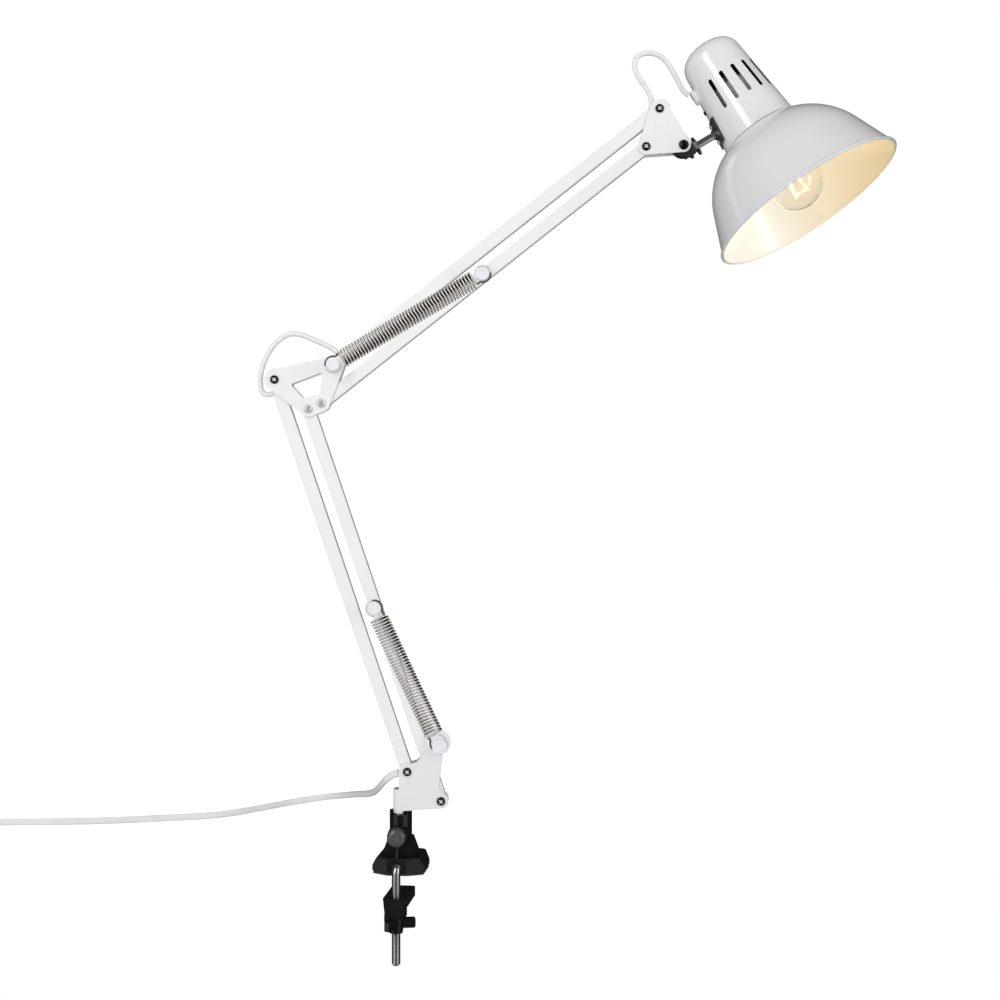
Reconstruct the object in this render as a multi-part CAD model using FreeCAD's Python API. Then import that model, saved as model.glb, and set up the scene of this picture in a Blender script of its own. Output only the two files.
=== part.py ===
import FreeCAD, Part
import math
import os
from FreeCAD import Vector

# Architect lamp on a table clamp, in millimetres. +Z is up, +X is the side that the head reaches to,
# and -Y is the side that the springs are on. The origin is on the underside of the clamp's foot,
# below the axis of the pin that the lamp turns on.

# Fits and clearances
run_fit = 0.08  # radial play of a part that turns on a pin
loose_fit = 0.15  # radial play of a screw in its hole
open_fit = 0.35  # radial play at the open pivot of each four-bar
seat_gap = 0.3  # face to face play beside a moving part
overrun = 2.0  # how far a cutter passes through a face
round_relief = 0.01  # how much smaller a full rounding is than half the width
tolerance = 1e-6
straight_limit = 1e-9
parallel_limit = 0.999

# Arms: square tubes in pairs, each pair a parallelogram
lower_arm_length = 340.0
upper_arm_length = 340.0
lower_lean = 18.7  # degrees from upright, towards -X
upper_rise = 38.3  # degrees above level
tube_width = 10.0
tube_wall = 1.0
tube_corner = 1.2
tube_end_reach = 9.0
tube_end_corner = 3.0
lower_offset_run = 27.7  # from the first to the second pivot of the lower arm
lower_offset_drop = 24.1
upper_offset_run = 11.0  # from the second to the first pivot of the upper arm
upper_offset_rise = 31.2
elbow_step_run = 10.7  # between the two bright screws of the elbow
elbow_step_rise = 4.7
base_pivot_run = 5.6  # first pivot from the pin's axis
base_pivot_height = 82.3
tilt_run = 30.8  # tilt bolt from the lower screw of the head plates
tilt_rise = 1.4

# Side plates and their fasteners
plate_thickness = 1.0
plate_gap = tube_width + 2 * seat_gap
sleeve_radius = 3.0
screw_radius = 2.0
screw_head_radius = 3.5
screw_head_height = 2.2
screw_end_reach = 1.2
head_shoulder_share = 0.35
head_flat_share = 0.3
head_bulge_share = 0.16
cross_length = 3.8
cross_width = 1.0
cross_depth = 1.1
cross_direction = (0.6, 0.1, 0.8)
hexagon_share = 0.57735  # corner radius of a hexagon over its width across flats
nut_across = 7.0
nut_height = 3.2
elbow_lobe_first = 8.2
elbow_lobe_spring = 7.8
elbow_lobe_arm = 7.0
elbow_lobe_rod = 6.6
head_lobe_top = 7.4
head_lobe_low = 6.6
head_lobe_tilt = 5.8
window_corner = 1.5
window_shares = ((0.137, 0.229), (0.740, 0.109), (0.371, 0.688), (0.103, 0.669))

# Folded base bracket
bracket_foot = 48.0
bracket_step_run = 1.5
bracket_step_height = 50.2
fold_drop = 14.7  # from the first pivot to the top of the fold
first_lobe = 7.0
second_lobe = 6.2
post_lobe = 6.8
post_run = 32.8  # spring post of the bracket
post_rise = 22.7  # above the first pivot
bracket_corner = 3.0
bracket_waist_run = 31.5
bracket_waist_drop = 12.3
bracket_hollow_run = 13.5
bracket_hollow_rise = 8.2
post_edge_share = 0.25
post_top_share = 0.5
first_run_share = 0.3
first_rise_share = 0.9

# Pin and socket
pin_radius = 5.3
pin_bottom = 15.0
pin_sink = 1.6  # from the top of the fold to the pin's end
pin_chamfer = 1.0

# Clamp
clamp_turn = -7.0  # degrees about the pin's axis
socket_radius = 9.25
socket_top = 49.8
socket_notch_depth = 2.6
socket_notch_half = 6.2
ear_inner_radius = 6.65
flare_top = 28.0
flare_half = 15.0
body_half_depth = 9.0
foot_half = 21.5
foot_nose = 18.5
foot_nose_half = 8.0
foot_front = 12.0
foot_back = 20.0
foot_back_chamfer = 6.0
foot_top = 14.0
foot_bevel_run = 4.0
foot_bevel_height = 7.0
pad_thickness = 2.5
pad_inset = 0.6
rib_thickness = 3.0
rib_half = 10.0
rib_top = 24.0
rear_rib_top = 38.0
rear_rib_half = 2.0
rear_rib_back = 18.0
foot_edge = 1.2
clamp_rod_radius = 3.5
clamp_rod_reach = 20.0  # from the pin's axis to the rod's axis
clamp_rod_level = 7.6
clamp_rod_bend = 6.5
clamp_rod_end = -72.0
clamp_rod_tail = 9.0
rod_tip_chamfer = 1.4
thread_depth = 0.35
thread_pitch = 1.25
thread_top = -12.0

# Thumb screw
thumb_height = 31.5
thumb_shank_radius = 3.0
thumb_boss_radius = 8.6
thumb_boss_reach = 14.0
thumb_knob_radius = 7.6
thumb_knob_length = 9.0
thumb_knob_dome = 2.2
thumb_knob_start = 15.0
dome_rise_share = 0.866
dome_run_share = 0.707
thumb_grip_count = 12
thumb_grip_radius = 0.7

# Lower jaw and its wing nut
jaw_top = -16.0
jaw_half = 9.5
jaw_foot_half = 7.6
jaw_front = 7.5
jaw_lip_height = 4.0
jaw_height = 17.0
jaw_reach = 33.0
jaw_tongue_thickness = 8.0
wing_count = 3
wing_hub_radius = 7.4
wing_hub_height = 12.0
wing_reach = 15.8
wing_thickness = 4.2
wing_height = 8.0
wing_corner = 2.0
wing_turn = 12.0  # degrees, the wings' direction at rest

# Springs and the pins that carry them
spring_wire = 1.6
upper_spring_outer = 15.0
lower_spring_outer = 16.0
upper_spring_turns = 46
lower_spring_turns = 40
upper_spring_reach = 169.0  # anchor from the tube's lower pivot
lower_spring_reach = 168.0
spring_level = 15.5  # distance of the springs' axes in front of the middle plane
ring_bend = 6.6  # centre line radius of the ring at each end of a spring
ring_lead = 8.6  # from a ring's centre to the first curl
ring_angles = (40, 130, 220, 310)  # degrees round a ring
gap_samples = 40  # points per turn where a spring's own gap is measured
post_ring_shift = 2.6  # how far the lowest ring is drawn off its thin post
anchor_radius = 3.0
anchor_hub_radius = 5.5
anchor_cap_height = 3.2
anchor_cap_edge = 0.8
anchor_hub_gap = 1.6
post_radius = 3.0
post_cap_radius = 6.2
post_washer_radius = 10.6
post_washer_height = 0.8
post_washer_shift_run = -2.0
post_washer_shift_rise = 2.0

# Knuckle, tilt bolt and head stem
head_rise = 31.0  # degrees above level of the head's stem
head_swing = 12.0  # degrees that the head is turned about its stem, mouth towards -Y
stem_drop = 5.6
stem_radius = 3.0
stem_tail = 2.5
knuckle_radius = 9.4
knuckle_face = 6.3
knuckle_boss_radius = 5.0
tilt_bolt_radius = 2.0
tilt_head_radius = 4.0
tilt_head_height = 2.6
tilt_nut_radius = 4.6
tilt_nut_height = 6.0
tilt_wing_reach = 12.5
tilt_wing_height = 7.0
tilt_wing_thickness = 2.0
tilt_wing_turn = 62.0
tilt_wing_corner = 2.0
stem_nut_across = 6.6
stem_nut_height = 2.6
stem_washer_radius = 8.0
stem_washer_height = 1.0

# Lamp housing and shade
shade_reach = 59.8  # from the tilt bolt to the shade's axis
seam_drop = 25.2
housing_base_radius = 32.3
housing_taper = 5.2  # degrees
housing_shoulder = 75.5  # height above the seam where the crown's rounding starts
housing_corner = 14.0
housing_corner_turn = 74.0  # degrees
housing_crown_flat = 2.0
shell_wall = 1.0
slot_count = 12
slot_first = -37.0  # degrees from the side that faces -Y
slot_step = 23.1
slot_level = 41.0
slot_length = 28.5
slot_width = 3.4
slot_inner_radius = 15.0
slot_outer_radius = 40.0
rim_radius = 82.6
bowl_depth = 72.0
bowl_shoulder_depth = 37.0
bowl_flare = 20.5  # degrees
lip_radius = 1.3
seam_gap = 0.4
saddle_thickness = 1.5
saddle_half_width = 10.5
saddle_half_height = 11.0
saddle_boss_radius = 4.4
saddle_boss_height = 1.6
saddle_screw_step = 7.4
small_head_radius = 2.1
small_head_height = 1.3
small_shank_radius = 1.2
small_shank_length = 5.0
grommet_level = 56.0
grommet_long_half = 6.5
grommet_short_half = 3.8
grommet_flange_height = 3.3
grommet_neck_inset = 0.9
housing_screw_level = 40.0

# Lampholder and bulb
holder_radius = 18.5
holder_thread_radius = 19.4
holder_height = 47.0
holder_skirt = 17.0
holder_bore_radius = 14.4
holder_thread_play = 0.15
holder_contact_gap = 0.1
holder_dome_radius = 9.0
ring_radius = 27.0
ring_height = 5.0
bulb_radius = 22.5
bulb_centre_drop = 50.5
bulb_neck_radius = 12.6
bulb_neck_drop = 11.0
bulb_join_turn = 52.0  # degrees above level where the globe meets the neck
bulb_wall = 0.7
bulb_cap_radius = 13.3
bulb_cap_height = 24.0
bulb_contact_radius = 4.5
bulb_contact_height = 2.0
filament_count = 4
filament_radius = 0.7
filament_length = 20.0
filament_wire = 0.4
filament_top_ring = 4.5
filament_foot_ring = 8.5
filament_lean = 30.0  # degrees that each strip winds round
bulb_stem_radius = 3.0

# Cables and cord
cable_radius = 2.1
cord_radius = 3.0
cable_seam = 0.06  # between two lengths of the head's cable
bend_share = 0.45  # of the shorter run that an arc takes at a corner
coil_gap_samples = 1200
coil_gap = 0.6
coil_turns = 2.5  # in each of the two layers
coil_climb_turns = 0.5
coil_outer_radius = 38.7
coil_lead = 36.0
coil_end_lead = 8.0
coil_tail = 34.0
switch_length = 58.0
switch_width = 25.0
switch_height = 17.0
switch_corner = 3.0
switch_end_gap = 0.1
rocker_length = 19.0
rocker_width = 11.0
rocker_depth = 6.0
rocker_rise = 2.2
rocker_play = 0.5
rocker_pin_radius = 1.5
rocker_pin_reach = 2.0  # into each side wall of the case
plug_length = 36.0
plug_width = 34.0
plug_height = 14.0
plug_neck_share = 0.42
plug_neck_length = 22.0
plug_corner = 4.0
plug_neck_corner = 2.75
plug_pin_radius = 2.0
plug_pin_length = 19.0
plug_pin_step = 18.6
plug_pin_depth = 6.0

# Routes, chosen by hand, (x, y, z): over the elbow from its first pivot, over the head joint from the
# top arm's pivot and then from the tilt bolt, and the mains cord in the lamp's own frame
elbow_route_low = (
    (-1.8, 0.0, -11.1),
    (-6.8, 0.0, -12.9),
    (-11.4, 0.0, -10.2),
    (-12.7, 0.0, -3.0),
    (-12.0, 0.0, 8.6),
    (-5.4, 0.0, 24.6),
    (0.8, 0.0, 30.8),
)
elbow_route_high = (
    (0.8, 0.0, 30.8),
    (7.0, 0.0, 37.0),
    (18.4, 0.0, 38.8),
    (34.4, 0.0, 31.9),
    (48.4, 0.0, 25.8),
    (52.4, 0.0, 20.7),
)
head_route_low = (
    (-6.5, 0.0, 0.7),
    (-5.5, 0.0, 7.1),
    (-8.4, 0.0, 15.6),
    (-12.8, 0.0, 21.5),
)
head_route_middle = (
    (-12.8, 0.0, 21.5),
    (-19.5, 0.0, 30.5),
    (-20.4, 0.6, 42.1),
    (-13.3, 1.8, 47.9),
    (-6.8, 3.0, 47.9),
)
head_route_high = (
    (-17.1, 4.8, 77.7),
    (-4.9, 6.2, 58.9),
    (0.6, 7.0, 47.2),
    (5.7, 7.4, 43.9),
)
cord_exit_route = (
    (-7.4, 0.0, -1.9),
    (-14.0, 3.0, -4.4),
    (-20.6, 12.0, -11.2),
)
cord_route = (
    (-21.7, 32.0, 60.3),
    (-29.9, 70.0, 48.8),
    (-41.0, 118.0, 37.7),
    (-51.6, 160.0, 28.8),
    (-62.4, 200.0, 19.8),
    (-75.0, 236.0, 11.2),
    (-94.1, 257.0, 5.4),
    (-124.0, 246.0, 3.1),
    (-152.0, 217.0, 3.1),
    (-186.0, 186.0, 3.1),
    (-232.0, 176.0, 3.1),
    (-284.0, 164.0, 3.1),
    (-344.0, 158.5, 3.1),
    (-401.0, 158.5, 3.1),
)


def rod(radius, start, end):
    """Solid cylinder from one point to another."""
    axis = end - start
    return Part.makeCylinder(radius, axis.Length, start, axis)


def pipe(outer, inner, start, end):
    """Hollow cylinder from one point to another."""
    return rod(outer, start, end).cut(rod(inner, start, end))


def box_between(low, high):
    """Upright box between two corners."""
    size = high - low
    return Part.makeBox(size.x, size.y, size.z, low)


def group(solids):
    """Separate solids kept together in one node."""
    return Part.makeCompound([s for shape in solids for s in shape.Solids])


def unit(vector):
    """A copy of the vector, one long."""
    return Vector(vector).normalize()


def rounded_wire(corners, radii):
    """Closed outline of straight sides whose corners are arcs of the given radii."""
    ends = []
    count = len(corners)
    for i, (corner, radius) in enumerate(zip(corners, radii)):
        back = unit(corners[i - 1] - corner)
        ahead = unit(corners[(i + 1) % count] - corner)
        if radius == 0:
            ends.append((corner, None, corner))
            continue
        half = back.getAngle(ahead) / 2
        reach = radius / math.tan(half)
        centre = corner + unit(back + ahead) * (radius / math.sin(half))
        middle = centre + unit(corner - centre) * radius
        ends.append((corner + back * reach, middle, corner + ahead * reach))
    edges = []
    for i, (start, middle, end) in enumerate(ends):
        if middle is not None:
            edges.append(Part.Arc(start, middle, end).toShape())
        following = ends[(i + 1) % count][0]
        if end.distanceToPoint(following) > tolerance:
            edges.append(Part.LineSegment(end, following).toShape())
    return Part.Wire(edges)


def belt_wire(centres, radii):
    """Outline of a belt round circles in the XZ plane, listed counter-clockwise as seen from -Y."""
    count = len(centres)
    normals = []
    for i in range(count):
        way = centres[(i + 1) % count] - centres[i]
        length = way.Length
        way = unit(way)
        lean = (radii[i] - radii[(i + 1) % count]) / length
        side = Vector(way.z, 0, -way.x)
        normals.append(way * lean + side * math.sqrt(1 - lean * lean))
    edges = []
    for i in range(count):
        before, after = normals[i - 1], normals[i]
        centre, radius = centres[i], radii[i]
        start, end = centre + before * radius, centre + after * radius
        middle = centre + unit(before + after) * radius
        edges.append(Part.Arc(start, middle, end).toShape())
        following = centres[(i + 1) % count] + after * radii[(i + 1) % count]
        edges.append(Part.LineSegment(end, following).toShape())
    return Part.Wire(edges)


def slab(wire, start, thickness):
    """Solid of a flat outline in the XZ plane, from y = start and one thickness deep."""
    face = Part.Face(wire)
    face.translate(Vector(0, start, 0))
    return face.extrude(Vector(0, thickness, 0))


def turned(profile, axis_point, axis):
    """Solid of revolution of a closed flat wire."""
    return Part.Face(profile).revolve(axis_point, axis, 360)


def hexagon_nut(across, height, bore, base, axis):
    """Six-sided nut standing on base along axis."""
    side = Vector(0, 0, 1).cross(axis)
    side = unit(side) if side.Length > tolerance else Vector(1, 0, 0)
    corner_radius = across * hexagon_share
    corners = []
    for i in range(6):
        spin = FreeCAD.Rotation(axis, i * 60)
        corners.append(base + spin.multVec(side) * corner_radius)
    face = Part.Face(Part.makePolygon(corners + corners[:1]))
    return face.extrude(unit(axis) * height).cut(rod(bore, base, base + unit(axis) * height))


def pan_head(radius, height, base, axis):
    """Rounded screw head standing on base along axis, with its cross recess."""
    axis = unit(axis)
    spread = Vector(0, 0, 1).cross(axis)
    spread = unit(spread) if spread.Length > tolerance else Vector(1, 0, 0)
    rim = base + spread * radius
    shoulder = rim + axis * (height * head_shoulder_share)
    top = base + axis * height
    edge = top + spread * (radius * head_flat_share)
    bulge = unit(spread * height + axis * radius) * (height * head_bulge_share)
    middle = (shoulder + edge) / 2 + bulge
    edges = [
        Part.LineSegment(base, rim).toShape(),
        Part.LineSegment(rim, shoulder).toShape(),
        Part.Arc(shoulder, middle, edge).toShape(),
        Part.LineSegment(edge, top).toShape(),
        Part.LineSegment(top, base).toShape(),
    ]
    return turned(Part.Wire(edges), base, axis)


def cross_recess(length, width, depth, top, axis):
    """Two crossed bars sunk into the top of a screw head."""
    axis = unit(axis)
    across = unit(Vector(*cross_direction).cross(axis))
    bars = []
    for way in (across, axis.cross(across)):
        side = axis.cross(way)
        start = top - way * (length / 2) - side * (width / 2) - axis * depth
        end = start + way * length
        corners = [start, end, end + side * width, start + side * width]
        face = Part.Face(Part.makePolygon(corners + corners[:1]))
        bars.append(face.extrude(axis * (depth + overrun)))
    return bars[0].fuse(bars[1])


def pivot_screw(point, front, back):
    """Screw through a pivot along Y, its head on the front plate."""
    ahead = Vector(0, -1, 0)
    seat = point + ahead * front
    head = pan_head(screw_head_radius, screw_head_height, seat, ahead)
    shank = rod(screw_radius, seat, point - ahead * (back + nut_height + screw_end_reach))
    recess = cross_recess(cross_length, cross_width, cross_depth, seat + ahead * screw_head_height, ahead)
    return head.fuse(shank).cut(recess)


def pivot_nut(point, back):
    """Nut of a pivot screw, on the rear plate."""
    base = point + Vector(0, back, 0)
    return hexagon_nut(nut_across, nut_height, screw_radius, base, Vector(0, 1, 0))


def pivot_sleeve(point):
    """Bush on the screw, between the plates, that a tube turns on."""
    half = Vector(0, plate_gap / 2, 0)
    return pipe(sleeve_radius, screw_radius, point - half, point + half)


def along(start, angle, length):
    """Point at a distance from start, at an angle above +X in the XZ plane."""
    turn = math.radians(angle)
    return start + Vector(math.cos(turn), 0, math.sin(turn)) * length


def placed(offsets, origin):
    """Points of a route given from an origin."""
    return [origin + Vector(*offset) for offset in offsets]


# Pivots, worked out from the sizes above
lower_way = 90 + lower_lean
base_first = Vector(base_pivot_run, 0, base_pivot_height)
base_second = base_first + Vector(lower_offset_run, 0, -lower_offset_drop)
fold_top = base_pivot_height - fold_drop
pin_top = fold_top - pin_sink
elbow_first = along(base_first, lower_way, lower_arm_length)
elbow_second = along(base_second, lower_way, lower_arm_length)
elbow_arm = elbow_second + Vector(elbow_step_run, 0, elbow_step_rise)
elbow_spring = elbow_arm + Vector(upper_offset_run, 0, upper_offset_rise)
head_low = along(elbow_arm, upper_rise, upper_arm_length)
head_top = along(elbow_spring, upper_rise, upper_arm_length)
tilt_point = head_low + Vector(tilt_run, 0, tilt_rise)
lower_anchor = along(base_second, lower_way, lower_spring_reach)
upper_anchor = along(elbow_arm, upper_rise, upper_spring_reach)
post_point = Vector(post_run, 0, base_pivot_height + post_rise)
plate_inner = plate_gap / 2
plate_outer = plate_inner + plate_thickness


def square_tube(start, angle, length, holes, start_reach, end_reach, start_corner, end_corner):
    """Square tube between two pivots, with rounded ends and a hole at each distance in holes."""
    half = tube_width / 2
    along_tube = Vector(1, 0, 0)
    corners = [
        Vector(-start_reach, 0, -half),
        Vector(length + end_reach, 0, -half),
        Vector(length + end_reach, 0, half),
        Vector(-start_reach, 0, half),
    ]
    radii = (start_corner, end_corner, end_corner, start_corner)
    body = slab(rounded_wire(corners, radii), -half, tube_width)
    long_edges = []
    for edge in body.Edges:
        lean = abs(unit(edge.tangentAt(edge.FirstParameter)).x)
        if lean > parallel_limit and edge.Length > length / 2:
            long_edges.append(edge)
    body = body.makeFillet(tube_corner, long_edges)
    inner = half - tube_wall
    low = Vector(-start_reach - overrun, -inner, -inner)
    high = Vector(length + end_reach + overrun, inner, inner)
    body = body.cut(box_between(low, high))
    across = Vector(0, tube_width, 0)
    for distance, radius in holes:
        centre = along_tube * distance
        body = body.cut(rod(radius, centre - across, centre + across))
    body.rotate(Vector(0, 0, 0), Vector(0, -1, 0), angle)
    body.translate(start)
    return body


def plate_holes(points, radius):
    """Cutters along Y for the holes of a side plate."""
    reach = Vector(0, plate_outer + overrun, 0)
    return [rod(radius, p - reach, p + reach) for p in points]


def cut_all(shape, cutters):
    """The shape with each cutter taken away."""
    for cutter in cutters:
        shape = shape.cut(cutter)
    return shape


def clamp_placed(shape):
    """A clamp piece turned about the pin's axis to where the clamp stands."""
    shape.rotate(Vector(0, 0, 0), Vector(0, 0, 1), clamp_turn)
    return shape


def foot_outline(inset, level):
    """Plan of the clamp's foot: a block with cut corners."""
    side = foot_half - inset
    front = foot_front - inset
    back = foot_back - inset
    corners = [
        Vector(-foot_nose_half, -foot_nose + inset, level),
        Vector(foot_nose_half, -foot_nose + inset, level),
        Vector(side, -front, level),
        Vector(side, back - foot_back_chamfer, level),
        Vector(side - foot_back_chamfer, back, level),
        Vector(-side + foot_back_chamfer, back, level),
        Vector(-side, back - foot_back_chamfer, level),
        Vector(-side, -front, level),
    ]
    return Part.Face(Part.makePolygon(corners + corners[:1]))


def clamp_rod_wire():
    """Centre line of the bent rod: back through the foot, round the bend and straight down."""
    level = clamp_rod_level
    bend = clamp_rod_bend
    reach = clamp_rod_reach
    slope = bend * (1 - math.sin(math.pi / 4))
    tail = Vector(0, clamp_rod_tail, level)
    first = Vector(0, -reach + bend, level)
    middle = Vector(0, -reach + slope, level - slope)
    second = Vector(0, -reach, level - bend)
    end = Vector(0, -reach, clamp_rod_end)
    return Part.Wire([
        Part.LineSegment(tail, first).toShape(),
        Part.Arc(first, middle, second).toShape(),
        Part.LineSegment(second, end).toShape(),
    ])


def swept(path, start, way, radius):
    """Round bar of one radius along a smooth path."""
    ring = Part.Wire(Part.makeCircle(radius, start, way))
    return path.makePipeShell([ring], True, False)


def make_clamp_rod():
    """Steel rod with its threaded lower end."""
    way = Vector(0, -1, 0)
    start = Vector(0, clamp_rod_tail, clamp_rod_level)
    bar = swept(clamp_rod_wire(), start, way, clamp_rod_radius)
    reach = Vector(0, -clamp_rod_reach, 0)
    tip = reach + Vector(0, 0, clamp_rod_end)
    up = Vector(0, 0, 1)
    cone = Part.makeCone(clamp_rod_radius - rod_tip_chamfer, clamp_rod_radius, rod_tip_chamfer, tip, up)
    collar = rod(clamp_rod_radius, tip, tip + up * rod_tip_chamfer)
    bar = bar.cut(collar.cut(cone))
    grooves = []
    height = clamp_rod_end + rod_tip_chamfer + thread_pitch
    while height < thread_top:
        centre = reach + Vector(0, 0, height)
        grooves.append(Part.makeTorus(clamp_rod_radius + thread_depth / 2, thread_depth, centre, up))
        height += thread_pitch
    return clamp_placed(bar.cut(Part.makeCompound(grooves)))


def make_clamp_body():
    """Moulded clamp: foot, flared neck, ribs and the socket for the lamp's pin."""
    foot = foot_outline(0, pad_thickness).extrude(Vector(0, 0, foot_top - pad_thickness))
    bevel = [
        Vector(-foot_half, 0, 0),
        Vector(foot_half, 0, 0),
        Vector(foot_half, 0, foot_bevel_height),
        Vector(foot_half - foot_bevel_run, 0, foot_top),
        Vector(-foot_half + foot_bevel_run, 0, foot_top),
        Vector(-foot_half, 0, foot_bevel_height),
    ]
    foot = foot.common(slab(Part.makePolygon(bevel + bevel[:1]), -foot_nose, foot_nose + foot_back))
    top_edges = [e for e in foot.Edges if e.BoundBox.ZMin > foot_top - foot_edge]
    foot = foot.makeFillet(foot_edge, top_edges)
    neck_corners = [
        Vector(-flare_half, 0, foot_top - foot_edge),
        Vector(flare_half, 0, foot_top - foot_edge),
        Vector(socket_radius, 0, flare_top),
        Vector(-socket_radius, 0, flare_top),
    ]
    neck_outline = Part.makePolygon(neck_corners + neck_corners[:1])
    neck = slab(neck_outline, -body_half_depth, 2 * body_half_depth)
    socket = rod(socket_radius, Vector(0, 0, foot_top - foot_edge), Vector(0, 0, socket_top))
    ribs = []
    for side in (-1, 1):
        corners = [
            Vector(side * socket_radius, 0, rib_top),
            Vector(side * rib_half, 0, rib_top - (rib_half - socket_radius)),
            Vector(side * (foot_half - foot_bevel_run), 0, foot_top - foot_edge),
            Vector(side * socket_radius, 0, foot_top - foot_edge),
        ]
        ribs.append(slab(Part.makePolygon(corners + corners[:1]), -rib_thickness / 2, rib_thickness))
    rear = [
        Vector(-rear_rib_half, socket_radius / 2, rear_rib_top),
        Vector(-rear_rib_half, socket_radius, rear_rib_top),
        Vector(-rear_rib_half, rear_rib_back, foot_top - foot_edge),
        Vector(-rear_rib_half, socket_radius / 2, foot_top - foot_edge),
    ]
    rear_face = Part.Face(Part.makePolygon(rear + rear[:1]))
    rear_rib = rear_face.extrude(Vector(2 * rear_rib_half, 0, 0))
    height = Vector(0, 0, thumb_height)
    boss = rod(thumb_boss_radius, height, height + Vector(0, -thumb_boss_reach, 0))
    body = foot.fuse([neck, socket, rear_rib, boss] + ribs)
    bore_low = Vector(0, 0, pin_bottom - seat_gap)
    bore = rod(pin_radius + run_fit, bore_low, Vector(0, 0, socket_top + overrun))
    notch_low = Vector(-socket_notch_half, -socket_radius - overrun, socket_top - socket_notch_depth)
    notch_high = Vector(socket_notch_half, socket_radius + overrun, socket_top + overrun)
    notch = box_between(notch_low, notch_high)
    thumb_end = height + Vector(0, -thumb_boss_reach - overrun, 0)
    thumb_hole = rod(thumb_shank_radius + run_fit, height, thumb_end)
    tail = Vector(0, clamp_rod_tail, clamp_rod_level)
    channel = swept(clamp_rod_wire(), tail, Vector(0, -1, 0), clamp_rod_radius)
    rim = Vector(0, 0, socket_top - socket_notch_depth)
    ears = rod(ear_inner_radius, rim, Vector(0, 0, socket_top + overrun))
    body = cut_all(body, (bore, notch, ears, thumb_hole, channel))
    return clamp_placed(body)


def make_foot_pad():
    """Rubber pad under the foot."""
    pad = foot_outline(pad_inset, 0).extrude(Vector(0, 0, pad_thickness))
    start = Vector(0, clamp_rod_tail, clamp_rod_level)
    notch = swept(clamp_rod_wire(), start, Vector(0, -1, 0), clamp_rod_radius)
    return clamp_placed(pad.cut(notch))


def make_thumb_shank():
    """Steel shank of the thumb screw, from the pin to the knob."""
    height = Vector(0, 0, thumb_height)
    start = height + Vector(0, -pin_radius - seat_gap, 0)
    end = height + Vector(0, -thumb_knob_start, 0)
    return clamp_placed(rod(thumb_shank_radius, start, end))


def make_thumb_knob():
    """Domed knob of the thumb screw with grip grooves round its edge."""
    height = Vector(0, -thumb_knob_start, thumb_height)
    out = Vector(0, -1, 0)
    edge = height + out * (thumb_knob_length - thumb_knob_dome)
    top = height + out * thumb_knob_length
    rim = Vector(thumb_knob_radius, 0, 0)
    flat = top + rim * head_flat_share
    middle = edge + out * (thumb_knob_dome * dome_rise_share) + rim * dome_run_share
    edges = [
        Part.LineSegment(height, height + rim).toShape(),
        Part.LineSegment(height + rim, edge + rim).toShape(),
        Part.Arc(edge + rim, middle, flat).toShape(),
        Part.LineSegment(flat, top).toShape(),
        Part.LineSegment(top, height).toShape(),
    ]
    knob = turned(Part.Wire(edges), height, out)
    for i in range(thumb_grip_count):
        spin = FreeCAD.Rotation(out, i * 360 / thumb_grip_count)
        side = spin.multVec(rim)
        low = height + side - out * overrun
        knob = knob.cut(rod(thumb_grip_radius, low, height + side + out * thumb_knob_length))
    return clamp_placed(knob)


def make_clamp_jaw():
    """Sliding jaw: a hub on the rod and a tongue that reaches under the table."""
    reach = -clamp_rod_reach
    top = jaw_top
    low = top - jaw_height
    corners = [
        Vector(-jaw_half, 0, top),
        Vector(-jaw_foot_half, 0, low),
        Vector(jaw_foot_half, 0, low),
        Vector(jaw_foot_half, 0, top - jaw_lip_height),
        Vector(jaw_half, 0, top - jaw_lip_height),
        Vector(jaw_half, 0, top),
    ]
    hub = slab(Part.makePolygon(corners + corners[:1]), reach - jaw_front, 2 * jaw_front)
    tongue_low = Vector(-jaw_half, reach, top - jaw_tongue_thickness)
    tongue_high = Vector(jaw_half, reach + jaw_reach, top)
    jaw = hub.fuse(box_between(tongue_low, tongue_high))
    hole_low = Vector(0, reach, low - overrun)
    hole = rod(clamp_rod_radius + run_fit, hole_low, Vector(0, reach, top + overrun))
    return clamp_placed(jaw.cut(hole))


def make_wing_nut():
    """Wing nut under the sliding jaw."""
    axis = Vector(0, -clamp_rod_reach, 0)
    top = jaw_top - jaw_height - seat_gap
    base = axis + Vector(0, 0, top - wing_hub_height)
    hub = Part.makeCone(wing_hub_radius - wing_corner, wing_hub_radius, wing_hub_height, base)
    low = Vector(0, -wing_thickness / 2, 0)
    high = Vector(wing_reach, wing_thickness / 2, wing_height)
    wings = []
    for i in range(wing_count):
        wing = box_between(low, high)
        outer = [e for e in wing.Edges if e.CenterOfMass.x > wing_reach - wing_corner]
        tall = [e for e in outer if e.Length < wing_height]
        wing = wing.makeFillet(wing_corner, tall)
        wing.rotate(Vector(0, 0, 0), Vector(0, 0, 1), wing_turn + i * 360 / wing_count)
        wing.translate(axis + Vector(0, 0, top - wing_height))
        wings.append(wing)
    nut = hub.fuse(wings)
    bore = rod(clamp_rod_radius + run_fit, base, base + Vector(0, 0, wing_hub_height + overrun))
    return clamp_placed(nut.cut(bore))


def make_stem_pin():
    """Round pin that stands in the socket and carries the bracket."""
    low = Vector(0, 0, pin_bottom)
    body = rod(pin_radius, low, Vector(0, 0, pin_top))
    ends = [e for e in body.Edges if isinstance(e.Curve, Part.Circle)]
    return body.makeChamfer(pin_chamfer, ends)


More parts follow.
